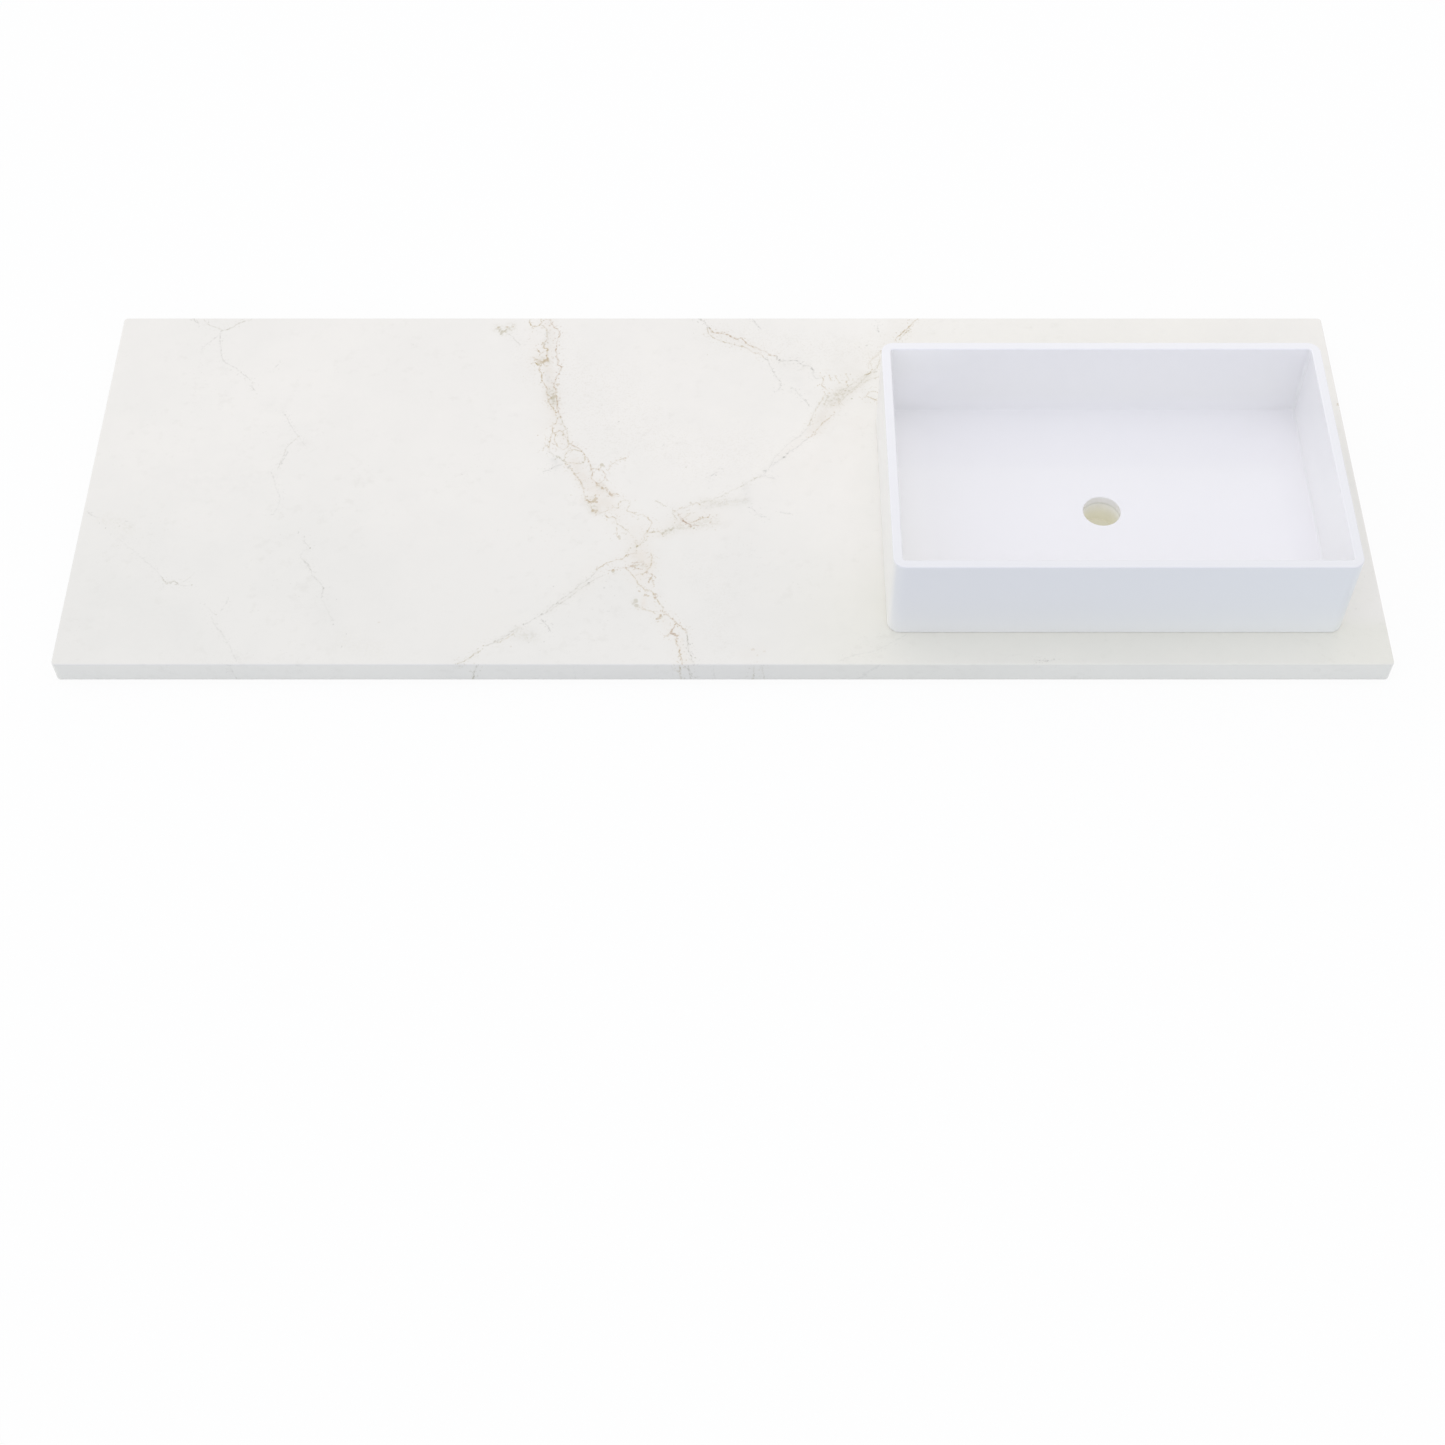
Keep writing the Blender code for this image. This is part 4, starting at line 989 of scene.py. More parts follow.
def closed_loft(name, rings):
    """A mesh through rings of as many points each, with the last ring joined to the first."""
    numbers = np.arange(len(rings) * len(rings[0])).reshape(len(rings), -1)
    faces = [strip(lower, upper) for lower, upper in zip(numbers, np.roll(numbers, -1, axis=0))]
    return put_mesh(name, np.vstack(rings), np.vstack(faces))


def quarter_round(across, height, radius, first_turn, last_turn, steps=ROUND_STEPS):
    """Points of a round about a centre, between two angles given in quarter turns."""
    turns = np.linspace(first_turn, last_turn, steps + 1) * QUARTER
    return [(across + radius * math.cos(turn), height + radius * math.sin(turn)) for turn in turns]


def graded(breaks, spacings):
    """Places from the first break to the last, each stretch cut into equal steps near its spacing."""
    stretches = [
        np.linspace(start, end, max(1, round((end - start) / spacing)) + 1)[:-1]
        for start, end, spacing in zip(breaks, breaks[1:], spacings)
    ]
    return np.concatenate([*stretches, breaks[-1:]])


def slab_grid_lines():
    """The columns and rows of the slab's top, close together where veins run and in line with the bore."""
    x, y = BASIN_CENTRE
    half = SLAB_HALF - SLAB_CORNER_RADIUS
    columns = graded(
        [-half[0], VEINED_FROM, VEINED_TO, x - BORE_PATCH_HALF, x + BORE_PATCH_HALF, half[0]],
        [PLAIN_COLUMN, VEIN_COLUMN, BARE_COLUMN, BORE_COLUMN, BARE_COLUMN],
    )
    rows = graded([-half[1], y - BORE_PATCH_HALF, y + BORE_PATCH_HALF, half[1]], [SLAB_ROW] * 3)
    return columns, rows


def block_border(numbers):
    """The vertex numbers round a block of a grid, anticlockwise from its lower left corner."""
    return np.concatenate([numbers[0, :-1], numbers[:-1, -1], numbers[-1, :0:-1], numbers[:0:-1, 0]])


def slab_top():
    """The flat top inside the corner radii: a grid with a square hole for the bore, closed to a circle.

    The rings of the closing patch are shares between the square's border and the circle at the same
    angles. Gives the points, the faces, the grid's numbers and the circle's."""
    columns, rows = slab_grid_lines()
    points = np.stack(np.meshgrid(columns, rows), axis=2).reshape(-1, 2)
    numbers = np.arange(len(points)).reshape(len(rows), len(columns))
    cells = np.stack([numbers[:-1, :-1], numbers[:-1, 1:], numbers[1:, 1:], numbers[1:, :-1]], axis=2)
    patch = BASIN_CENTRE[:, None] + np.array([-1, 1]) * BORE_PATCH_HALF - SUPPORT
    first_column, last_column = np.searchsorted(columns, patch[0])
    first_row, last_row = np.searchsorted(rows, patch[1])
    solid = np.ones(cells.shape[:2], dtype=bool)
    solid[first_row:last_row, first_column:last_column] = False
    faces = [cells[solid]]
    square = block_border(numbers[first_row:last_row + 1, first_column:last_column + 1])
    arm = points[square] - BASIN_CENTRE
    circle = unit(arm) * (DRAIN_BORE / 2 + SLAB_BORE_ARRIS + SUPPORT)
    ring = square
    for share in np.arange(1, BORE_PATCH_RINGS + 1) / BORE_PATCH_RINGS:
        inner = len(points) + np.arange(len(square))
        points = np.vstack([points, BASIN_CENTRE + arm * (1 - share) + circle * share])
        faces.append(strip(ring, inner))
        ring = inner
    return points, faces, numbers, ring


def outer_border(numbers):
    """The border of the grid with each corner repeated, and the outward direction of each entry."""
    sides = [numbers[0, 1:-1], numbers[1:-1, -1], numbers[-1, -2:0:-1], numbers[-2:0:-1, 0]]
    corners = [numbers[0, -1], numbers[-1, -1], numbers[-1, 0], numbers[0, 0]]
    repeats = CORNER_STEPS // 2 + 1
    border, turns = [], []
    for quarter, (side, corner) in enumerate(zip(sides, corners)):
        facing = (quarter - 1) * QUARTER
        border += [side, np.full(repeats, corner)]
        turns += [np.full(len(side), facing), np.linspace(facing, facing + QUARTER, repeats)]
    return np.concatenate(border), directions(np.concatenate(turns))


def slab_edge_profile():
    """The slab's edge from its top down to its underside, as distances in from the side and heights."""
    arris_foot = SLAB_TOP - SLAB_ARRIS
    profile = [(SLAB_ARRIS + SUPPORT, SLAB_TOP)]
    profile += quarter_round(SLAB_ARRIS, arris_foot, SLAB_ARRIS, 1, 2, ROUND_STEPS // 2)
    profile.append((0.0, arris_foot - SUPPORT))
    profile += [(0.0, height) for height in np.linspace(arris_foot, SLAB_ARRIS, EDGE_ROWS + 1)[1:-1]]
    profile.append((0.0, SLAB_ARRIS + SUPPORT))
    profile += quarter_round(SLAB_ARRIS, SLAB_ARRIS, SLAB_ARRIS, 2, 3, ROUND_STEPS // 2)
    return profile + [(SLAB_ARRIS + SUPPORT, 0.0), (SLAB_CORNER_RADIUS - LEAST_PLAN_RADIUS, 0.0)]


def slab_bore_profile():
    """The slab's bore from its top arris down to its mouth, as radii and heights."""
    bore = DRAIN_BORE / 2
    arris_middle = bore + SLAB_BORE_ARRIS
    arris_foot = SLAB_TOP - SLAB_BORE_ARRIS
    profile = quarter_round(arris_middle, arris_foot, SLAB_BORE_ARRIS, 1, 2, ROUND_STEPS // 2)
    profile += [(bore, arris_foot - SUPPORT), (bore, SLAB_TOP / 2), (bore, SLAB_BORE_ARRIS + SUPPORT)]
    return profile + quarter_round(arris_middle, SLAB_BORE_ARRIS, SLAB_BORE_ARRIS, 2, 3, ROUND_STEPS // 2)


def slab_rows(plan, height, pattern, sawn=False, bored=False):
    """One row for each point: its place, its pattern place, and whether it is sawn and lies in the bore."""
    marks = np.tile([float(sawn), float(bored)], (len(plan), 1))
    return np.column_stack([at_height(plan, height), pattern, marks])


def last_numbers(tables):
    """The vertex numbers of the rows in the last of several tables."""
    last = len(tables[-1])
    return sum(len(table) for table in tables) - last + np.arange(last)


def make_slab():
    """The stone slab: a fine flat top, eased arrises, upright edges, a bored hole and a sawn underside.

    Round the edge and in the bore, each ring is the border moved by the profile's distance across, at the
    profile's height. Pattern places fold the edges up into the plane of the top."""
    flat, faces, numbers, circle = slab_top()
    border, outward = outer_border(numbers)
    tables = [slab_rows(flat, SLAB_TOP, flat)]
    ring = border
    for inset, height in slab_edge_profile():
        plan = flat[border] + outward * (SLAB_CORNER_RADIUS - inset)
        folded = plan + outward * (SLAB_TOP - height)
        tables.append(slab_rows(plan, height, folded, sawn=height < SAWN_BELOW))
        lower = last_numbers(tables)
        faces.append(strip(ring, lower)[:, [0, 3, 2, 1]] if ring is border else strip(lower, ring))
        ring = lower
    foot = ring

    arm = unit(flat[circle] - BASIN_CENTRE)
    ring = circle
    for radius, height in slab_bore_profile():
        plan = BASIN_CENTRE + arm * radius
        tables.append(slab_rows(plan, height, plan, sawn=True, bored=True))
        lower = last_numbers(tables)
        faces.append(strip(ring, lower))
        ring = lower
    mouth = ring

    rows = np.vstack(tables)
    faces = with_underside(rows[:, :3], tidy_faces(faces), foot, mouth)
    used, faces = renumbered(faces)
    points, pattern, sawn, bored = np.split(rows[used], [3, 5, 6], axis=1)
    slab = put_mesh("stone_slab", points, faces)
    layers = strand_layers()
    for number, layer in enumerate(layers, start=1):
        field, width = strand_field(pattern, layer)
        put_attribute(slab, f"strand_{number}", field)
        put_attribute(slab, f"width_{number}", width)
    stains = stain_field(pattern)
    put_attribute(slab, "crumb", crumb_field(pattern, layers))
    put_attribute(slab, "spot", spot_field(pattern))
    put_attribute(slab, "stain", stains[:, :GRAINY])
    put_attribute(slab, "grainy", stains[:, GRAINY])
    put_attribute(slab, "sawn", sawn[:, 0])
    put_attribute(slab, "bored", bored[:, 0])
    return slab, len(layers)


def tidy_faces(faces):
    """All faces in one array, those of three corners with their -1 last."""
    faces = np.vstack(faces)
    order = np.argsort(faces < 0, axis=1, kind="stable")
    return np.take_along_axis(faces, order, axis=1)


def with_underside(points, faces, foot, mouth):
    """Adds the flat underside, filled with triangles between the foot ring and the bore's mouth."""
    fill = bmesh.new()
    ring_numbers = np.concatenate([foot, mouth])
    made = [fill.verts.new(points[number]) for number in ring_numbers]
    fill.verts.index_update()
    edges = []
    for ring in (made[:len(foot)], made[len(foot):]):
        edges += [fill.edges.new(pair) for pair in zip(ring, ring[1:] + ring[:1])]
    bmesh.ops.triangle_fill(fill, use_beauty=True, edges=edges)
    corners = np.array([[vertex.index for vertex in face.verts] for face in fill.faces])
    normals = np.array([face.normal.z for face in fill.faces])
    fill.free()
    corners[normals > 0] = corners[normals > 0][:, ::-1]
    under = np.column_stack([ring_numbers[corners], np.full(len(corners), -1)])
    return np.vstack([faces, under])


def renumbered(faces):
    """The vertex numbers that faces use, and the faces with those numbers closed up."""
    used = np.unique(faces[faces >= 0])
    new_number = np.full(used.max() + 1, -1)
    new_number[used] = np.arange(len(used))
    return used, np.where(faces >= 0, new_number[faces], -1)


def basin_ring(inset):
    """A rounded rectangle about the basin's centre, anticlockwise from where its right-hand side meets the
    back corner's arc. Arcs go by equal angles and straight sides by shares, close together at their ends."""
    radius = max(BASIN_CORNER_RADIUS - inset, LEAST_PLAN_RADIUS)
    half = BASIN_SIZE[:2] / 2 - inset - radius
    signs = ((1, 1), (-1, 1), (-1, -1), (1, -1))
    arcs = []
    for quarter, sign in enumerate(signs):
        turns = (quarter + np.linspace(0, 1, CORNER_STEPS + 1)) * QUARTER
        arcs.append(np.array(sign) * half + radius * directions(turns))
    shares = np.array(SIDE_SHARES)[:, None]
    pieces = []
    for arc, following in zip(arcs, arcs[1:] + arcs[:1]):
        pieces += [arc, arc[-1] + (following[0] - arc[-1]) * shares]
    return np.vstack(pieces)


def basin_circle(radius):
    """A circle with one point for each point of a basin ring, at the same shares of its turn."""
    ring = basin_ring(BASIN_WALL + BASIN_FLOOR_FILLET)
    step = np.hypot(*(np.roll(ring, -1, axis=0) - ring).T)
    travelled = np.concatenate([[0.0], np.cumsum(step)[:-1]]) / step.sum()
    short_half = ring[:, 1].max() / step.sum()
    return radius * directions(2 * math.pi * (travelled + short_half))


def basin_wall_profiles():
    """The basin's wall as insets from its outer face and heights, in four stretches: the foot and the
    outside, the rim, the inside, and the fillet down to the floor."""
    top = BASIN_SIZE[2]
    rim_foot = top - BASIN_RIM_ROUND
    inner = BASIN_WALL - BASIN_RIM_ROUND
    fillet_top = BASIN_FLOOR_TOP + BASIN_FLOOR_FALL + BASIN_FLOOR_FILLET
    outside = [(BASIN_FOOT_WIDTH, 0.0), (BASIN_FOOT_EASE + SUPPORT, 0.0)]
    outside += quarter_round(BASIN_FOOT_EASE, BASIN_FOOT_EASE, BASIN_FOOT_EASE, 3, 2)
    outside += [(0.0, height) for height in (BASIN_FOOT_EASE + SUPPORT, top / 2, rim_foot - SUPPORT)]
    rim = quarter_round(BASIN_RIM_ROUND, rim_foot, BASIN_RIM_ROUND, 2, 1)
    rim += [(BASIN_RIM_ROUND + SUPPORT, top), (inner - SUPPORT, top)]
    rim += quarter_round(inner, rim_foot, BASIN_RIM_ROUND, 1, 0)
    inside = [(BASIN_WALL, height) for height in (rim_foot - SUPPORT, top / 2, fillet_top + SUPPORT)]
    fillet = quarter_round(BASIN_WALL + BASIN_FLOOR_FILLET, fillet_top, BASIN_FLOOR_FILLET, 2, 3)
    return outside, rim, inside, fillet


def basin_drain_profile():
    """The basin's bore from its level seat down to the undercut, as radii and heights."""
    bore = DRAIN_BORE / 2
    round_middle = bore + DRAIN_EDGE_ROUND
    round_foot = BASIN_FLOOR_TOP - DRAIN_EDGE_ROUND
    profile = [(round_middle + SUPPORT, BASIN_FLOOR_TOP)]
    profile += quarter_round(round_middle, round_foot, DRAIN_EDGE_ROUND, 1, 2)
    heights = (round_foot - SUPPORT, BASIN_UNDERCUT + SUPPORT, BASIN_UNDERCUT)
    return profile + [(bore, height) for height in heights]


def make_basin():
    """The glazed basin: one closed skin lofted from the foot over the rim, down to the floor and the bore.

    Each ring is a rounded rectangle at a profile point's inset and height. The floor's rings are shares
    between the wall's foot and the level seat's circle, falling with the share."""
    outside, rim, inside, fillet = basin_wall_profiles()
    rings = [at_height(basin_ring(inset), height) for inset, height in outside + rim + inside + fillet]
    wall_foot, seat = rings[-1], at_height(basin_circle(DRAIN_SEAT_DIAMETER / 2), BASIN_FLOOR_TOP)
    rings += [wall_foot + (seat - wall_foot) * share for share in FLOOR_SHARES]
    rings.append(seat)
    rings += [at_height(basin_circle(radius), height) for radius, height in basin_drain_profile()]
    rings.append(at_height(basin_ring(BASIN_FOOT_WIDTH), BASIN_UNDERCUT))
    stand = np.array([*BASIN_CENTRE, BASIN_LOW[2]])
    basin = closed_loft("glazed_basin", [ring + stand for ring in rings])

    row = np.arange(len(rings))
    rim_start = len(outside)
    inside_start = rim_start + len(rim)
    floor_start = inside_start + len(inside) + len(fillet)
    on_rim = (row >= rim_start) & (row < inside_start)
    on_fillet = (row >= floor_start - len(fillet)) & (row < floor_start)
    shares = np.array(FLOOR_SHARES)
    # The painted light at the walls' foot: full on the walls, and on the floor from a share in the middle to
    # full at the walls' foot
    foot_light = np.where(row < floor_start, 1.0, GLAZE_FLOOR_SHARE)
    foot_light[floor_start:floor_start + len(shares)] += (1 - GLAZE_FLOOR_SHARE) * (1 - shares) ** GLAZE_FOOT_LIGHT_POWER
    marks = {
        "bare": (row < BARE_RINGS) | (row >= len(rings) - BARE_RINGS),
        "foot_light": foot_light,
        "rim": on_rim,
        "outside": row < rim_start,
        "round": on_rim | on_fillet,
    }
    for name, values in marks.items():
        put_attribute(basin, name, np.repeat(values.astype(float), len(rings[0])))
    return basin


def make_drain_bead():
    """The silicone round the bore: a ring whose section has a half-round outer end, flat faces, and a lip
    that was pressed to the bore's edge and lies on its arris. Each ring is a circle at a section point."""
    low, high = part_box("drain_bead")
    half = (high[2] - low[2]) / 2
    middle = (high[2] + low[2]) / 2
    outer = (high[0] - low[0]) / 2
    lip = DRAIN_BORE / 2 + JOINT_GAP
    arris_middle = (lip - JOINT_GAP + SLAB_BORE_ARRIS, SLAB_TOP - SLAB_BORE_ARRIS)
    seat = SLAB_BORE_ARRIS + JOINT_GAP
    seat_turn = 2 - math.acos((SLAB_BORE_ARRIS - JOINT_GAP) / seat) / QUARTER
    section = quarter_round(outer - half, middle, half, -1, 1)
    section += [(lip + SUPPORT, high[2]), (lip, high[2] - SUPPORT)]
    section += quarter_round(*arris_middle, seat, seat_turn, 1)
    circle = directions(np.linspace(0, 2 * math.pi, BEAD_TURN_STEPS, endpoint=False))
    rings = [at_height(BASIN_CENTRE + circle * radius, height) for radius, height in section]
    return closed_loft("drain_sealant", rings)


def add_node(tree, kind, **settings):
    """A new node in a tree, with its settings."""
    made = tree.nodes.new(kind)
    for name, value in settings.items():
        setattr(made, name, value)
    return made


def feed(tree, socket, value):
    """Joins a socket to another one, or sets it to a plain value. A colour is given as three parts."""
    if isinstance(value, bpy.types.NodeSocket):
        tree.links.new(value, socket)
        return
    if isinstance(value, tuple) and socket.type == "RGBA":
        value = (*value, 1.0)
    socket.default_value = value


def fed(tree, made, given):
    """Feeds a node's sockets by their names or numbers, and gives its outputs."""
    for socket, value in given.items():
        feed(tree, made.inputs[socket], value)
    return made.outputs


def maths(tree, operation, *values, clamp=False):
    """One step of arithmetic on plain values or sockets."""
    made = add_node(tree, "ShaderNodeMath", operation=operation, use_clamp=clamp)
    return fed(tree, made, dict(enumerate(values)))[0]


def product(tree, *factors, clamp=False):
    """All the factors multiplied, and at the end held between none and one if asked."""
    found = factors[0]
    for factor in factors[1:-1]:
        found = maths(tree, "MULTIPLY", found, factor)
    return maths(tree, "MULTIPLY", found, factors[-1], clamp=clamp)


def swing(tree, value, width):
    """A noise's value about its middle, times a width."""
    return product(tree, maths(tree, "SUBTRACT", value, NOISE_MIDDLE), width)


def eased(tree, value, low, high, low_out=0.0, high_out=1.0, smooth=True):
    """A value carried from one range to another, held at its ends, with a smooth or a straight run."""
    made = add_node(tree, "ShaderNodeMapRange", interpolation_type="SMOOTHSTEP" if smooth else "LINEAR")
    given = {"Value": value, "From Min": low, "From Max": high, "To Min": low_out, "To Max": high_out}
    return fed(tree, made, given)["Result"]


def ramp(tree, parts, span, least=0.0, smooth=True):
    """A mask along one axis of the object, from its least at the span's start to full at its end."""
    axis, start, end = span
    return eased(tree, parts[axis], start, end, least, 1.0, smooth)


def mixed(tree, share, first, second, blend="MIX"):
    """A mix of two colours."""
    made = add_node(tree, "ShaderNodeMix", data_type="RGBA", blend_type=blend)
    return fed(tree, made, {0: share, 6: first, 7: second})[2]


def gained(tree, share, colour, gain):
    """A colour multiplied by a gain, as far as the share goes."""
    return mixed(tree, share, colour, gain, "MULTIPLY")


def eased_colours(tree, value, stops):
    """A colour that passes smoothly through each stop's colour as the value passes the stop's place."""
    colour = stops[0][1]
    for (place, _), (next_place, next_colour) in zip(stops, stops[1:]):
        colour = mixed(tree, eased(tree, value, place, next_place), colour, next_colour)
    return colour


def noise(tree, place, scale, detail=2.0, roughness=0.5, distortion=0.0):
    """The value and the colour of a noise over places."""
    made = add_node(tree, "ShaderNodeTexNoise")
    given = {"Vector": place, "Scale": scale, "Detail": detail, "Roughness": roughness}
    return fed(tree, made, given | {"Distortion": distortion})


def voronoi(tree, place, scale, feature="F1"):
    """The distance to a cell's point, or to its edge."""
    made = add_node(tree, "ShaderNodeTexVoronoi", feature=feature)
    return fed(tree, made, {"Vector": place, "Scale": scale})["Distance"]


def object_place(tree):
    """Places in metres, from the object's origin."""
    return add_node(tree, "ShaderNodeTexCoord").outputs["Object"]


def split(tree, vector):
    """The three parts of a vector."""
    return fed(tree, add_node(tree, "ShaderNodeSeparateXYZ"), {0: vector})


def vector_maths(tree, operation, given):
    """One step of arithmetic on vectors, its sockets given by their names or numbers."""
    return fed(tree, add_node(tree, "ShaderNodeVectorMath", operation=operation), given)


def shifted(tree, place, by):
    """Places moved by a constant, so that patterns of one kind differ."""
    return vector_maths(tree, "ADD", {0: place, 1: by})[0]


def scaled(tree, vector, factor):
    """A vector times a factor."""
    return vector_maths(tree, "SCALE", {0: vector, "Scale": factor})[0]


def warped(tree, place, scale, amount):
    """Places moved by up to half an amount each way by a noise of a given scale."""
    centred = vector_maths(tree, "SUBTRACT", {0: noise(tree, place, scale)["Color"], 1: (NOISE_MIDDLE,) * 3})
    return shifted(tree, place, scaled(tree, centred[0], amount))


def group(name, inputs, outputs):
    """An empty shader node group with its named sockets, and the sockets of its two end nodes."""
    tree = bpy.data.node_groups.new(name, "ShaderNodeTree")
    for way, sockets in (("INPUT", inputs), ("OUTPUT", outputs)):
        for title, kind in sockets:
            tree.interface.new_socket(name=title, in_out=way, socket_type="NodeSocket" + kind)
    return tree, add_node(tree, "NodeGroupInput").outputs, add_node(tree, "NodeGroupOutput").inputs


def use(tree, shared, **values):
    """Places a group in a tree and feeds its sockets by name, with spaces written as underscores."""
    made = add_node(tree, "ShaderNodeGroup", node_tree=shared)
    return fed(tree, made, {name.replace("_", " "): value for name, value in values.items()})


def make_clouds_group():
    """Soft drifts of two scales, between a light and a shade colour."""
    tree, given, out = group(
        "soft_clouds",
        (("Place", "Vector"), ("Light", "Color"), ("Shade", "Color"), ("Scale", "Float")),
        (("Color", "Color"),),
    )
    close_scale = product(tree, given["Scale"], CLOUDS_CLOSER)
    wide = noise(tree, given["Place"], given["Scale"], *CLOUDS_WIDE_NOISE)[0]
    close = noise(tree, given["Place"], close_scale, *CLOUDS_CLOSE_NOISE)[0]
    both = maths(tree, "ADD", product(tree, wide, CLOUDS_WIDE_SHARE),
                 product(tree, close, 1.0 - CLOUDS_WIDE_SHARE))
    shade = eased(tree, both, *CLOUDS_RANGE)
    feed(tree, out["Color"], mixed(tree, shade, given["Light"], given["Shade"]))
    return tree


def make_polish_group():
    """What a polished or glazed surface shows close up: a faint waviness, and smears in its gloss."""
    tree, given, out = group(
        "polish",
        (("Place", "Vector"), ("Gloss", "Float"), ("Smear", "Float"), ("Wave Scale", "Float")),
        (("Roughness", "Float"), ("Height", "Float")),
    )
    smear = noise(tree, warped(tree, given["Place"], *SMEAR_WARP), *SMEAR_NOISE)[0]
    lift = product(tree, eased(tree, smear, *SMEAR_RANGE), given["Smear"])
    feed(tree, out["Roughness"], maths(tree, "ADD", given["Gloss"], lift))
    feed(tree, out["Height"], noise(tree, given["Place"], given["Wave Scale"], 1.0)[0])
    return tree


def make_strand_group():
    """One layer of hairlines over the stone's colour.

    The line's distance is shaken by a noise, its width and strength come and go along it, and it breaks up
    into beads. A faint stain lies beside the line."""
    tree, given, out = group(
        "strand",
        (("Color", "Color"), ("Strand", "Vector"), ("Half Width", "Float"), ("Shake", "Float"),
         ("Break", "Float"), ("Beads", "Float")),
        (("Color", "Color"), ("Mask", "Float")),
    )
    distance, strength, tone = split(tree, given["Strand"])
    away = maths(tree, "ABSOLUTE", maths(tree, "ADD", distance, given["Shake"]))
    width = product(tree, given["Half Width"], eased(tree, given["Break"], *STRAND_BREATH))
    edge = maths(tree, "ADD", width, STRAND_EDGE)
    core = product(tree, eased(tree, away, STRAND_CORE, edge, 1.0, 0.0),
                   eased(tree, given["Break"], *STRAND_BROKEN), eased(tree, given["Beads"], *STRAND_BEADED))
    line = maths(tree, "ADD", product(tree, core, STRAND_SHARE), eased(tree, away, *STRAND_HALO))
    mask = product(tree, line, strength, clamp=True)
    feed(tree, out["Color"], mixed(tree, mask, given["Color"], tone_ramp(tree, tone)))
    feed(tree, out["Mask"], mask)
    return tree


def tone_ramp(tree, tone):
    """The colour of a vein mineral, from grey through olive and gold to rust."""
    made = add_node(tree, "ShaderNodeValToRGB")
    elements = made.color_ramp.elements
    while len(elements) < len(STRAND_TONES):
        elements.new(1.0)
    for element, (position, colour) in zip(elements, STRAND_TONES):
        element.position = position
        element.color = (*colour, 1.0)
    return fed(tree, made, {0: tone})[0]


def attribute(tree, name, output="Fac"):
    """A value, or with the output "Vector" a triple, that the mesh carries."""
    return add_node(tree, "ShaderNodeAttribute", attribute_name=name).outputs[output]


def new_material(name):
    """A material with its tree, its Principled shader's sockets, and the place in the object."""
    material = bpy.data.materials.new(name)
    material.use_nodes = True
    tree = material.node_tree
    return material, tree, tree.nodes["Principled BSDF"].inputs, object_place(tree)


def bump(tree, height, strength, distance):
    """A normal tilted by a height's slope."""
    made = add_node(tree, "ShaderNodeBump")
    return fed(tree, made, {"Height": height, "Strength": strength, "Distance": distance})["Normal"]


def stone_noise(tree, place, name):
    """The value and the colour of one of the stone's named noises."""
    offset, *rest = STONE_NOISES[name]
    return noise(tree, shifted(tree, place, offset), *rest)


def stone_painted_light(tree, parts, colour):
    """Painted light and shade over the white stone: painted shade towards the front and ahead of the basin,
    painted light beside the basin, by the basin's left wall, and from end to end of the slab's edges."""
    towards_basin = ramp(tree, parts, STONE_TOWARDS_BASIN)
    forward = product(tree, ramp(tree, parts, STONE_FORWARD), maths(tree, "SUBTRACT", 1.0, towards_basin))
    colour = gained(tree, forward, colour, STONE_FRONT_PAINTED_SHADE)
    left_of_basin = ramp(tree, parts, STONE_LEFT_OF_BASIN)
    nearing = product(tree, ramp(tree, parts, STONE_NEARING), left_of_basin)
    ahead = product(tree, maths(tree, "MAXIMUM", ramp(tree, parts, STONE_AHEAD), nearing), towards_basin)
    beside = product(tree, maths(tree, "SUBTRACT", towards_basin, ahead),
                     ramp(tree, parts, STONE_BESIDE, STONE_BESIDE_LEAST))
    colour = gained(tree, beside, colour, STONE_BESIDE_PAINTED_LIGHT)
    colour = gained(tree, ahead, colour, STONE_AHEAD_PAINTED_SHADE)
    backward = ramp(tree, parts, STONE_BACKWARD)
    at_wall = product(tree, ramp(tree, parts, STONE_AT_WALL), left_of_basin, backward)
    colour = gained(tree, at_wall, colour, STONE_AT_WALL_PAINTED_LIGHT)
    edge_painted_light = eased_colours(tree, parts["X"], STONE_EDGE_PAINTED_LIGHT)
    return gained(tree, ramp(tree, parts, STONE_ON_EDGE), colour, edge_painted_light)


def stained(tree, place, bent, colour):
    """Warm and grey stains come and go with a noise each. A mottled stain is a web of broken lines between
    clumps, over a faint fill."""
    warm, grey, mottled = split(tree, attribute(tree, "stain", "Vector"))
    patchy = eased(tree, stone_noise(tree, place, "drift")[0], *WARM_PATCHES)
    colour = mixed(tree, product(tree, warm, patchy, clamp=True), colour, STONE_WARM)
    cloudy = eased(tree, stone_noise(tree, place, "fine_drift")[0], *GREY_PATCHES)
    colour = mixed(tree, product(tree, grey, cloudy, clamp=True), colour, STONE_GREY)
    clump = stone_noise(tree, place, "clump")[0]
    web = eased(tree, voronoi(tree, bent, WEB_SCALE, "DISTANCE_TO_EDGE"), *WEB_LINE)
    web = product(tree, web, eased(tree, clump, *WEB_BROKEN))
    clumps = eased(tree, clump, *MOTTLE_CLUMPS)
    mottle = maths(tree, "ADD", maths(tree, "MAXIMUM", web, clumps), MOTTLE_FILL)
    return mixed(tree, product(tree, mottle, mottled, clamp=True), colour, MOTTLE_COLOUR)


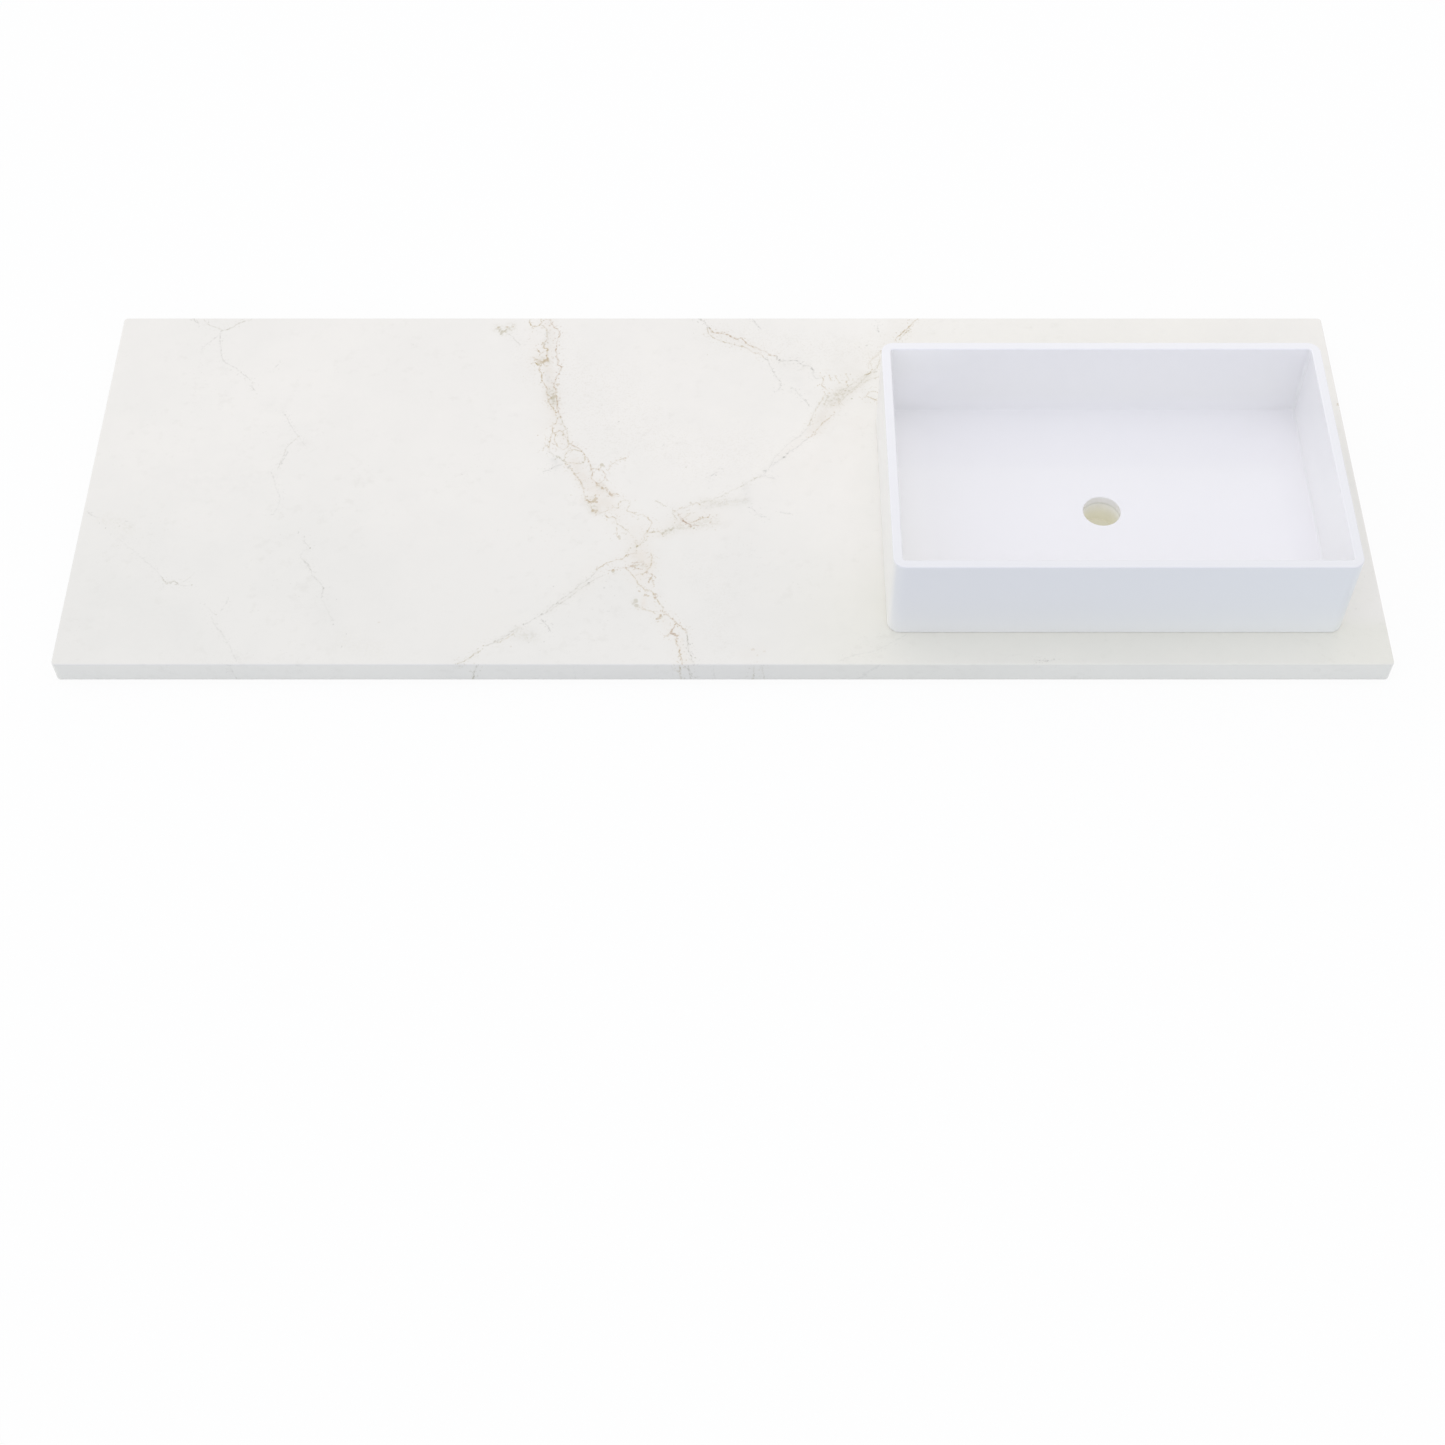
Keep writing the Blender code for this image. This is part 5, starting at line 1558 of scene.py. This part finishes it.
def crumbled(tree, place, colour):
    """Crumbs of vein mineral beside the strands, each of a tone near its strand's."""
    amount, tone, _ = split(tree, attribute(tree, "crumb", "Vector"))
    grit = stone_noise(tree, place, "grit")
    share = product(tree, amount, eased(tree, grit[0], *CRUMB_RANGE))
    other = fed(tree, add_node(tree, "ShaderNodeSeparateColor"), {0: grit[1]})["Blue"]
    tone = maths(tree, "ADD", tone, swing(tree, other, CRUMB_TONE_SWING))
    return mixed(tree, share, colour, tone_ramp(tree, tone))


def stone_veins(tree, place, fine, colour, layers, strand):
    """The strands, layer over layer, and then the spots with a grainy edge. Gives the colour, and how much
    of a strand covers each place."""
    coarse = stone_noise(tree, place, "coarse")[0]
    shake = maths(tree, "ADD", swing(tree, coarse, COARSE_SHAKE), swing(tree, fine, FINE_SHAKE))
    along, beads = (stone_noise(tree, place, name)[0] for name in ("along", "beads"))
    lines = 0.0
    for number in range(1, layers + 1):
        made = use(tree, strand, Color=colour, Strand=attribute(tree, f"strand_{number}", "Vector"),
                   Half_Width=attribute(tree, f"width_{number}"), Shake=shake, Break=along, Beads=beads)
        colour = made["Color"]
        lines = maths(tree, "MAXIMUM", made["Mask"], lines)
    depth, strength, tone = split(tree, attribute(tree, "spot", "Vector"))
    inside = eased(tree, maths(tree, "ADD", depth, swing(tree, fine, SPOT_SHAKE)), *SPOT_EDGE)
    share = product(tree, inside, product(tree, strength, SPOT_SHARE))
    return mixed(tree, share, colour, tone_ramp(tree, tone)), lines


def speckled(tree, place, bent, fine, colour):
    """Small specks and larger, fainter blots, both thicker in some parts of the slab, and a fine grain in
    the grainy stains."""
    where = stone_noise(tree, place, "where")[0]
    specks = product(tree, eased(tree, voronoi(tree, bent, SPECK_SCALE), *SPECK_SIZE),
                     eased(tree, where, *SPECK_PLACES))
    blots = product(tree, eased(tree, stone_noise(tree, place, "blots")[0], *BLOT_RANGE),
                    eased(tree, where, *BLOT_PLACES))
    colour = mixed(tree, maths(tree, "ADD", specks, blots), colour, SPECK_COLOUR)
    grain = product(tree, eased(tree, fine, *GRAIN_RANGE), attribute(tree, "grainy"))
    return mixed(tree, grain, colour, GRAIN_COLOUR)


def stone_material(layers, clouds, polish, strand):
    """Polished white stone with fine rust, gold and grey veins. Its bore and underside are sawn, not
    polished."""
    material, tree, shader, place = new_material("polished_stone")
    parts = split(tree, place)
    bent = warped(tree, place, *BENT_WARP)
    fine = stone_noise(tree, place, "fine")[0]
    colour = use(tree, clouds, Place=place, Light=STONE_LIGHT, Shade=STONE_SHADE, Scale=STONE_CLOUDS)["Color"]
    # Painted light and shade over the stone's ground
    colour = stone_painted_light(tree, parts, colour)
    colour = stained(tree, place, bent, colour)
    colour = crumbled(tree, place, colour)
    colour, lines = stone_veins(tree, place, fine, colour, layers, strand)
    colour = speckled(tree, place, bent, fine, colour)

    raw_noise = stone_noise(tree, place, "raw")[0]
    raw = mixed(tree, eased(tree, raw_noise, *RAW_RANGE, 0.0, RAW_STAIN), STONE_RAW, STONE_WARM)
    # The bore's wall is painted lighter towards its top: painted light
    cored = mixed(tree, ramp(tree, parts, STONE_RISEN), STONE_BORE, STONE_BORE_TOP_PAINTED_LIGHT)
    cored = mixed(tree, eased(tree, raw_noise, *RAW_RANGE, 0.0, BORE_STAIN), cored, STONE_RAW)
    sawn = attribute(tree, "sawn")
    raw = mixed(tree, attribute(tree, "bored"), raw, cored)
    feed(tree, shader["Base Color"], mixed(tree, sawn, colour, raw))

    gloss = use(tree, polish, Place=place, Gloss=STONE_GLOSS, Smear=STONE_SMEAR, Wave_Scale=STONE_WAVES)
    pitted = maths(tree, "ADD", gloss["Roughness"], product(tree, lines, VEIN_ROUGHER))
    feed(tree, shader["Roughness"], eased(tree, sawn, 0.0, 1.0, pitted, SAWN_ROUGHNESS, smooth=False))
    relief = maths(tree, "SUBTRACT", product(tree, gloss["Height"], STONE_WAVE_SHARE),
                   product(tree, lines, VEIN_DEPTH_SHARE))
    relief = maths(tree, "ADD", relief, product(tree, raw_noise, sawn, SAWN_RELIEF_SHARE))
    feed(tree, shader["Normal"], bump(tree, relief, *STONE_BUMP))
    return material


def glaze_inside(tree, place, parts):
    """The glaze inside the basin, with painted light and shade. It is painted lighter towards the foot of the
    walls and towards the left wall, where shade falls, and painted light and shade change it a little over
    the floor, the back wall and the right wall."""
    left_lift = ramp(tree, parts, GLAZE_LEFT_LIFT)
    # Painted light: the glaze is lighter towards the walls' foot and towards the left wall, where shade falls
    lifted = product(tree, ramp(tree, parts, GLAZE_LOW, smooth=False), attribute(tree, "foot_light"))
    lifted = maths(tree, "MAXIMUM", lifted, left_lift)
    drift = eased(tree, noise(tree, place, *GLAZE_DRIFT_NOISE)[0], *GLAZE_DRIFT)
    lifted = maths(tree, "ADD", lifted, drift, clamp=True)
    colour = mixed(tree, lifted, GLAZE_INSIDE_UNLIFTED, GLAZE_LIFTED_BY_PAINTED_LIGHT)
    colour = mixed(tree, ramp(tree, parts, GLAZE_IN_CORNER), colour, GLAZE_CORNER_PAINTED_LIGHT)
    # Painted light on the floor, and painted shade on the back wall and the right wall
    on_floor = product(tree, ramp(tree, parts, GLAZE_ON_FLOOR), maths(tree, "SUBTRACT", 1.0, left_lift))
    floor_painted_light = mixed(tree, ramp(tree, parts, GLAZE_FLOOR_AHEAD), GLAZE_FLOOR_PAINTED_LIGHT, GLAZE_FLOOR_FRONT_PAINTED_LIGHT)
    colour = gained(tree, on_floor, colour, floor_painted_light)
    rightward = ramp(tree, parts, GLAZE_BACK_RIGHTWARD)
    clear = maths(tree, "MAXIMUM", rightward, ramp(tree, parts, GLAZE_BACK_HIGH))
    clear = product(tree, clear, ramp(tree, parts, GLAZE_BACK_UPWARD),
                    ramp(tree, parts, GLAZE_BACK_LEFTWARD, GLAZE_BACK_LEAST))
    on_back = product(tree, ramp(tree, parts, GLAZE_ON_BACK), clear)
    colour = gained(tree, on_back, colour, GLAZE_BACK_PAINTED_SHADE)
    on_right = product(tree, *(ramp(tree, parts, span) for span in GLAZE_ON_RIGHT))
    return gained(tree, on_right, colour, GLAZE_RIGHT_PAINTED_SHADE)


def glaze_outside(tree, parts):
    """The glaze outside the basin, with painted light and shade: darker at the left and lighter to the right,
    lighter towards the foot where shade falls, and a painted warm reflection of the stone on the left flank."""
    across = ramp(tree, parts, GLAZE_ACROSS, smooth=False)
    outside = mixed(tree, across, GLAZE_OUTSIDE_LEFT_PAINTED_SHADE, GLAZE_OUTSIDE_RIGHT_PAINTED_LIGHT)
    fallen = maths(tree, "POWER", ramp(tree, parts, GLAZE_FALLEN, smooth=False), GLAZE_FOOT_POWER)
    outside = gained(tree, fallen, outside, GLAZE_FOOT_PAINTED_LIGHT)
    # Painted warm reflection of the stone on the left flank
    return mixed(tree, ramp(tree, parts, GLAZE_ON_FLANK), outside, GLAZE_FLANK_PAINTED_REFLECTION)


def glaze_material(polish):
    """White glaze with a lilac cast and a few pinholes. It is thinner and uneven over the rim, and painted
    darker at the front and lighter at the back there, which is painted shade and light. The foot and the
    undercut are bare, fired clay."""
    material, tree, shader, place = new_material("basin_glaze")
    parts = split(tree, place)
    is_outside = attribute(tree, "outside")
    colour = mixed(tree, is_outside, glaze_inside(tree, place, parts), glaze_outside(tree, parts))
    # The rim: uneven in colour, and painted darker at the front and lighter at the back, which is painted
    # shade and light
    rim = mixed(tree, ramp(tree, parts, GLAZE_BACKWARD, smooth=False), GLAZE_RIM_FRONT_PAINTED_SHADE, GLAZE_RIM_BACK_PAINTED_LIGHT)
    uneven = eased(tree, noise(tree, place, GLAZE_RIM_NOISE)[0], *GLAZE_RIM_RANGE)
    colour = mixed(tree, product(tree, attribute(tree, "rim"), uneven), colour, rim)
    pinhole = eased(tree, voronoi(tree, place, PINHOLE_SCALE), *PINHOLE_SIZE)
    colour = mixed(tree, pinhole, colour, BISQUE_COLOUR)
    bare = attribute(tree, "bare")
    grit = noise(tree, place, *BISQUE_NOISE)[0]
    bisque = mixed(tree, eased(tree, grit, *BISQUE_RANGE), BISQUE_COLOUR, STONE_GREY)
    feed(tree, shader["Base Color"], mixed(tree, bare, colour, bisque))

    matter = eased(tree, is_outside, 0.0, 1.0, GLAZE_INSIDE_GLOSS, GLAZE_OUTSIDE_GLOSS, smooth=False)
    matter = maths(tree, "MAXIMUM", matter, product(tree, attribute(tree, "round"), GLAZE_ROUND_GLOSS))
    gloss = use(tree, polish, Place=place, Gloss=matter, Smear=GLAZE_SMEAR, Wave_Scale=GLAZE_WAVES)
    roughness = eased(tree, bare, 0.0, 1.0, gloss["Roughness"], BISQUE_ROUGHNESS, smooth=False)
    feed(tree, shader["Roughness"], roughness)
    feed(tree, shader["IOR"], GLAZE_IOR)
    relief = maths(tree, "ADD", product(tree, gloss["Height"], GLAZE_WAVE_SHARE),
                   product(tree, grit, bare, BISQUE_RELIEF_SHARE))
    feed(tree, shader["Normal"], bump(tree, relief, *GLAZE_BUMP))
    return material


def silicone_material(clouds, polish):
    """Cured white silicone: a soft sheen over a slightly uneven skin."""
    material, tree, shader, place = new_material("silicone")
    shade = tuple(SILICONE_SHADE * part for part in SILICONE_COLOUR)
    cloudy = use(tree, clouds, Place=place, Light=SILICONE_COLOUR, Shade=shade, Scale=SILICONE_CLOUDS)
    feed(tree, shader["Base Color"], cloudy["Color"])
    gloss = use(tree, polish, Place=place, Gloss=SILICONE_GLOSS, Smear=SILICONE_SMEAR,
                Wave_Scale=SILICONE_WAVES)
    feed(tree, shader["Roughness"], gloss["Roughness"])
    feed(tree, shader["Normal"], bump(tree, gloss["Height"], *SILICONE_BUMP))
    return material


def seen_ray(tree):
    """One for a ray that shows the background: straight from the camera, reflected or let through."""
    path = add_node(tree, "ShaderNodeLightPath").outputs
    either = maths(tree, "MAXIMUM", path["Is Camera Ray"], path["Is Glossy Ray"])
    return maths(tree, "MAXIMUM", either, path["Is Transmission Ray"])


def coloured(tree, kind, colour):
    """A shader node of one kind in a colour."""
    return fed(tree, add_node(tree, kind), {"Color": colour})[0]


def show(tree, kind, share, first, second):
    """Puts out a mix of two shaders as a world's or a material's surface."""
    both = fed(tree, add_node(tree, "ShaderNodeMixShader"), {0: share, 1: first, 2: second})
    fed(tree, add_node(tree, kind), {"Surface": both[0]})


def make_world():
    """A plain white surround. What lights the object is a soft even sky, a little brighter towards the left
    and the front: each adds its own radiance times the share of the direction that points there."""
    world = bpy.data.worlds.new("studio")
    bpy.context.scene.world = world
    world.use_nodes = True
    tree = world.node_tree
    tree.nodes.clear()
    way = split(tree, add_node(tree, "ShaderNodeTexCoord").outputs["Generated"])
    colour = SKY_EVEN
    for axis, radiance in (("X", SKY_LEFT), ("Y", SKY_FRONT)):
        share = maths(tree, "MAXIMUM", product(tree, way[axis], -1.0), 0.0)
        colour = shifted(tree, scaled(tree, radiance, share), colour)
    sky = coloured(tree, "ShaderNodeBackground", colour)
    white = coloured(tree, "ShaderNodeBackground", PLAIN_WHITE)
    show(tree, "ShaderNodeOutputWorld", seen_ray(tree), sky, white)


def make_lamp():
    """One wide, soft lamp over the back of the slab, left of the basin."""
    data = bpy.data.lights.new("soft_lamp", "AREA")
    data.shape = "SQUARE"
    data.size = LAMP_SIDE
    data.energy = LAMP_WATTS
    data.color = LAMP_COLOUR
    lamp = bpy.data.objects.new("soft_lamp", data)
    lamp.location = LAMP_PLACE
    lamp.visible_glossy = False
    bpy.context.scene.collection.objects.link(lamp)


def floor_material():
    """A pale floor that shows as plain white to the camera and keeps a faint shadow of the object. Under the
    drain's bore it is a dim cream light panel, which the open bore lets through."""
    material = bpy.data.materials.new("pale_floor")
    material.use_nodes = True
    tree = material.node_tree
    tree.nodes.clear()
    under_bore = (*BASIN_CENTRE, -FLOOR_DROP)
    away = vector_maths(tree, "DISTANCE", {0: object_place(tree), 1: under_bore})["Value"]
    open_floor = eased(tree, away, DRAIN_BORE / 2, DRAIN_BORE, smooth=False)
    seen = product(tree, seen_ray(tree), open_floor)
    matt = coloured(tree, "ShaderNodeBsdfDiffuse", mixed(tree, seen, FLOOR_COLOUR, PLAIN_WHITE))
    glow = coloured(tree, "ShaderNodeEmission", mixed(tree, open_floor, FLOOR_UNDER_BORE, PLAIN_WHITE))
    glowing = maths(tree, "MAXIMUM", product(tree, seen, 1.0 - FLOOR_SHADOW_SHARE),
                    maths(tree, "SUBTRACT", 1.0, open_floor))
    show(tree, "ShaderNodeOutputMaterial", glowing, matt, glow)
    return material


def make_floor():
    """The floor, a square just under the slab."""
    corners = np.array([(-1, -1), (1, -1), (1, 1), (-1, 1)]) * FLOOR_HALF
    floor = put_mesh("floor", at_height(corners, -FLOOR_DROP), [range(4)])
    floor.data.materials.append(floor_material())


def make_camera():
    """The camera at the photograph's place, tilt and lens."""
    data = bpy.data.cameras.new("camera")
    data.lens = CAMERA_LENS
    data.sensor_width = CAMERA_SENSOR
    camera = bpy.data.objects.new("camera", data)
    camera.location = CAMERA_PLACE
    camera.rotation_euler = (CAMERA_TILT, 0.0, 0.0)
    bpy.context.scene.collection.objects.link(camera)
    bpy.context.scene.camera = camera


def dress(piece, node, material):
    """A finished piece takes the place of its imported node."""
    piece.data.materials.append(material)
    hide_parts(node)
    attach(piece, "root")


def main():
    """The surroundings, the three finished pieces, and the silicone on the bead that keeps its shape."""
    bpy.context.scene.view_settings.view_transform = "Standard"
    make_camera()
    make_world()
    make_lamp()
    make_floor()
    clouds, polish, strand = make_clouds_group(), make_polish_group(), make_strand_group()
    slab, layers = make_slab()
    dress(slab, "countertop_slab", stone_material(layers, clouds, polish, strand))
    dress(make_basin(), "vessel_basin", glaze_material(polish))
    sealant = silicone_material(clouds, polish)
    dress(make_drain_bead(), "drain_bead", sealant)
    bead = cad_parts["perimeter_bead"]
    bead.data.materials.clear()
    bead.data.materials.append(sealant)


main()
bpy.context.view_layer.update()
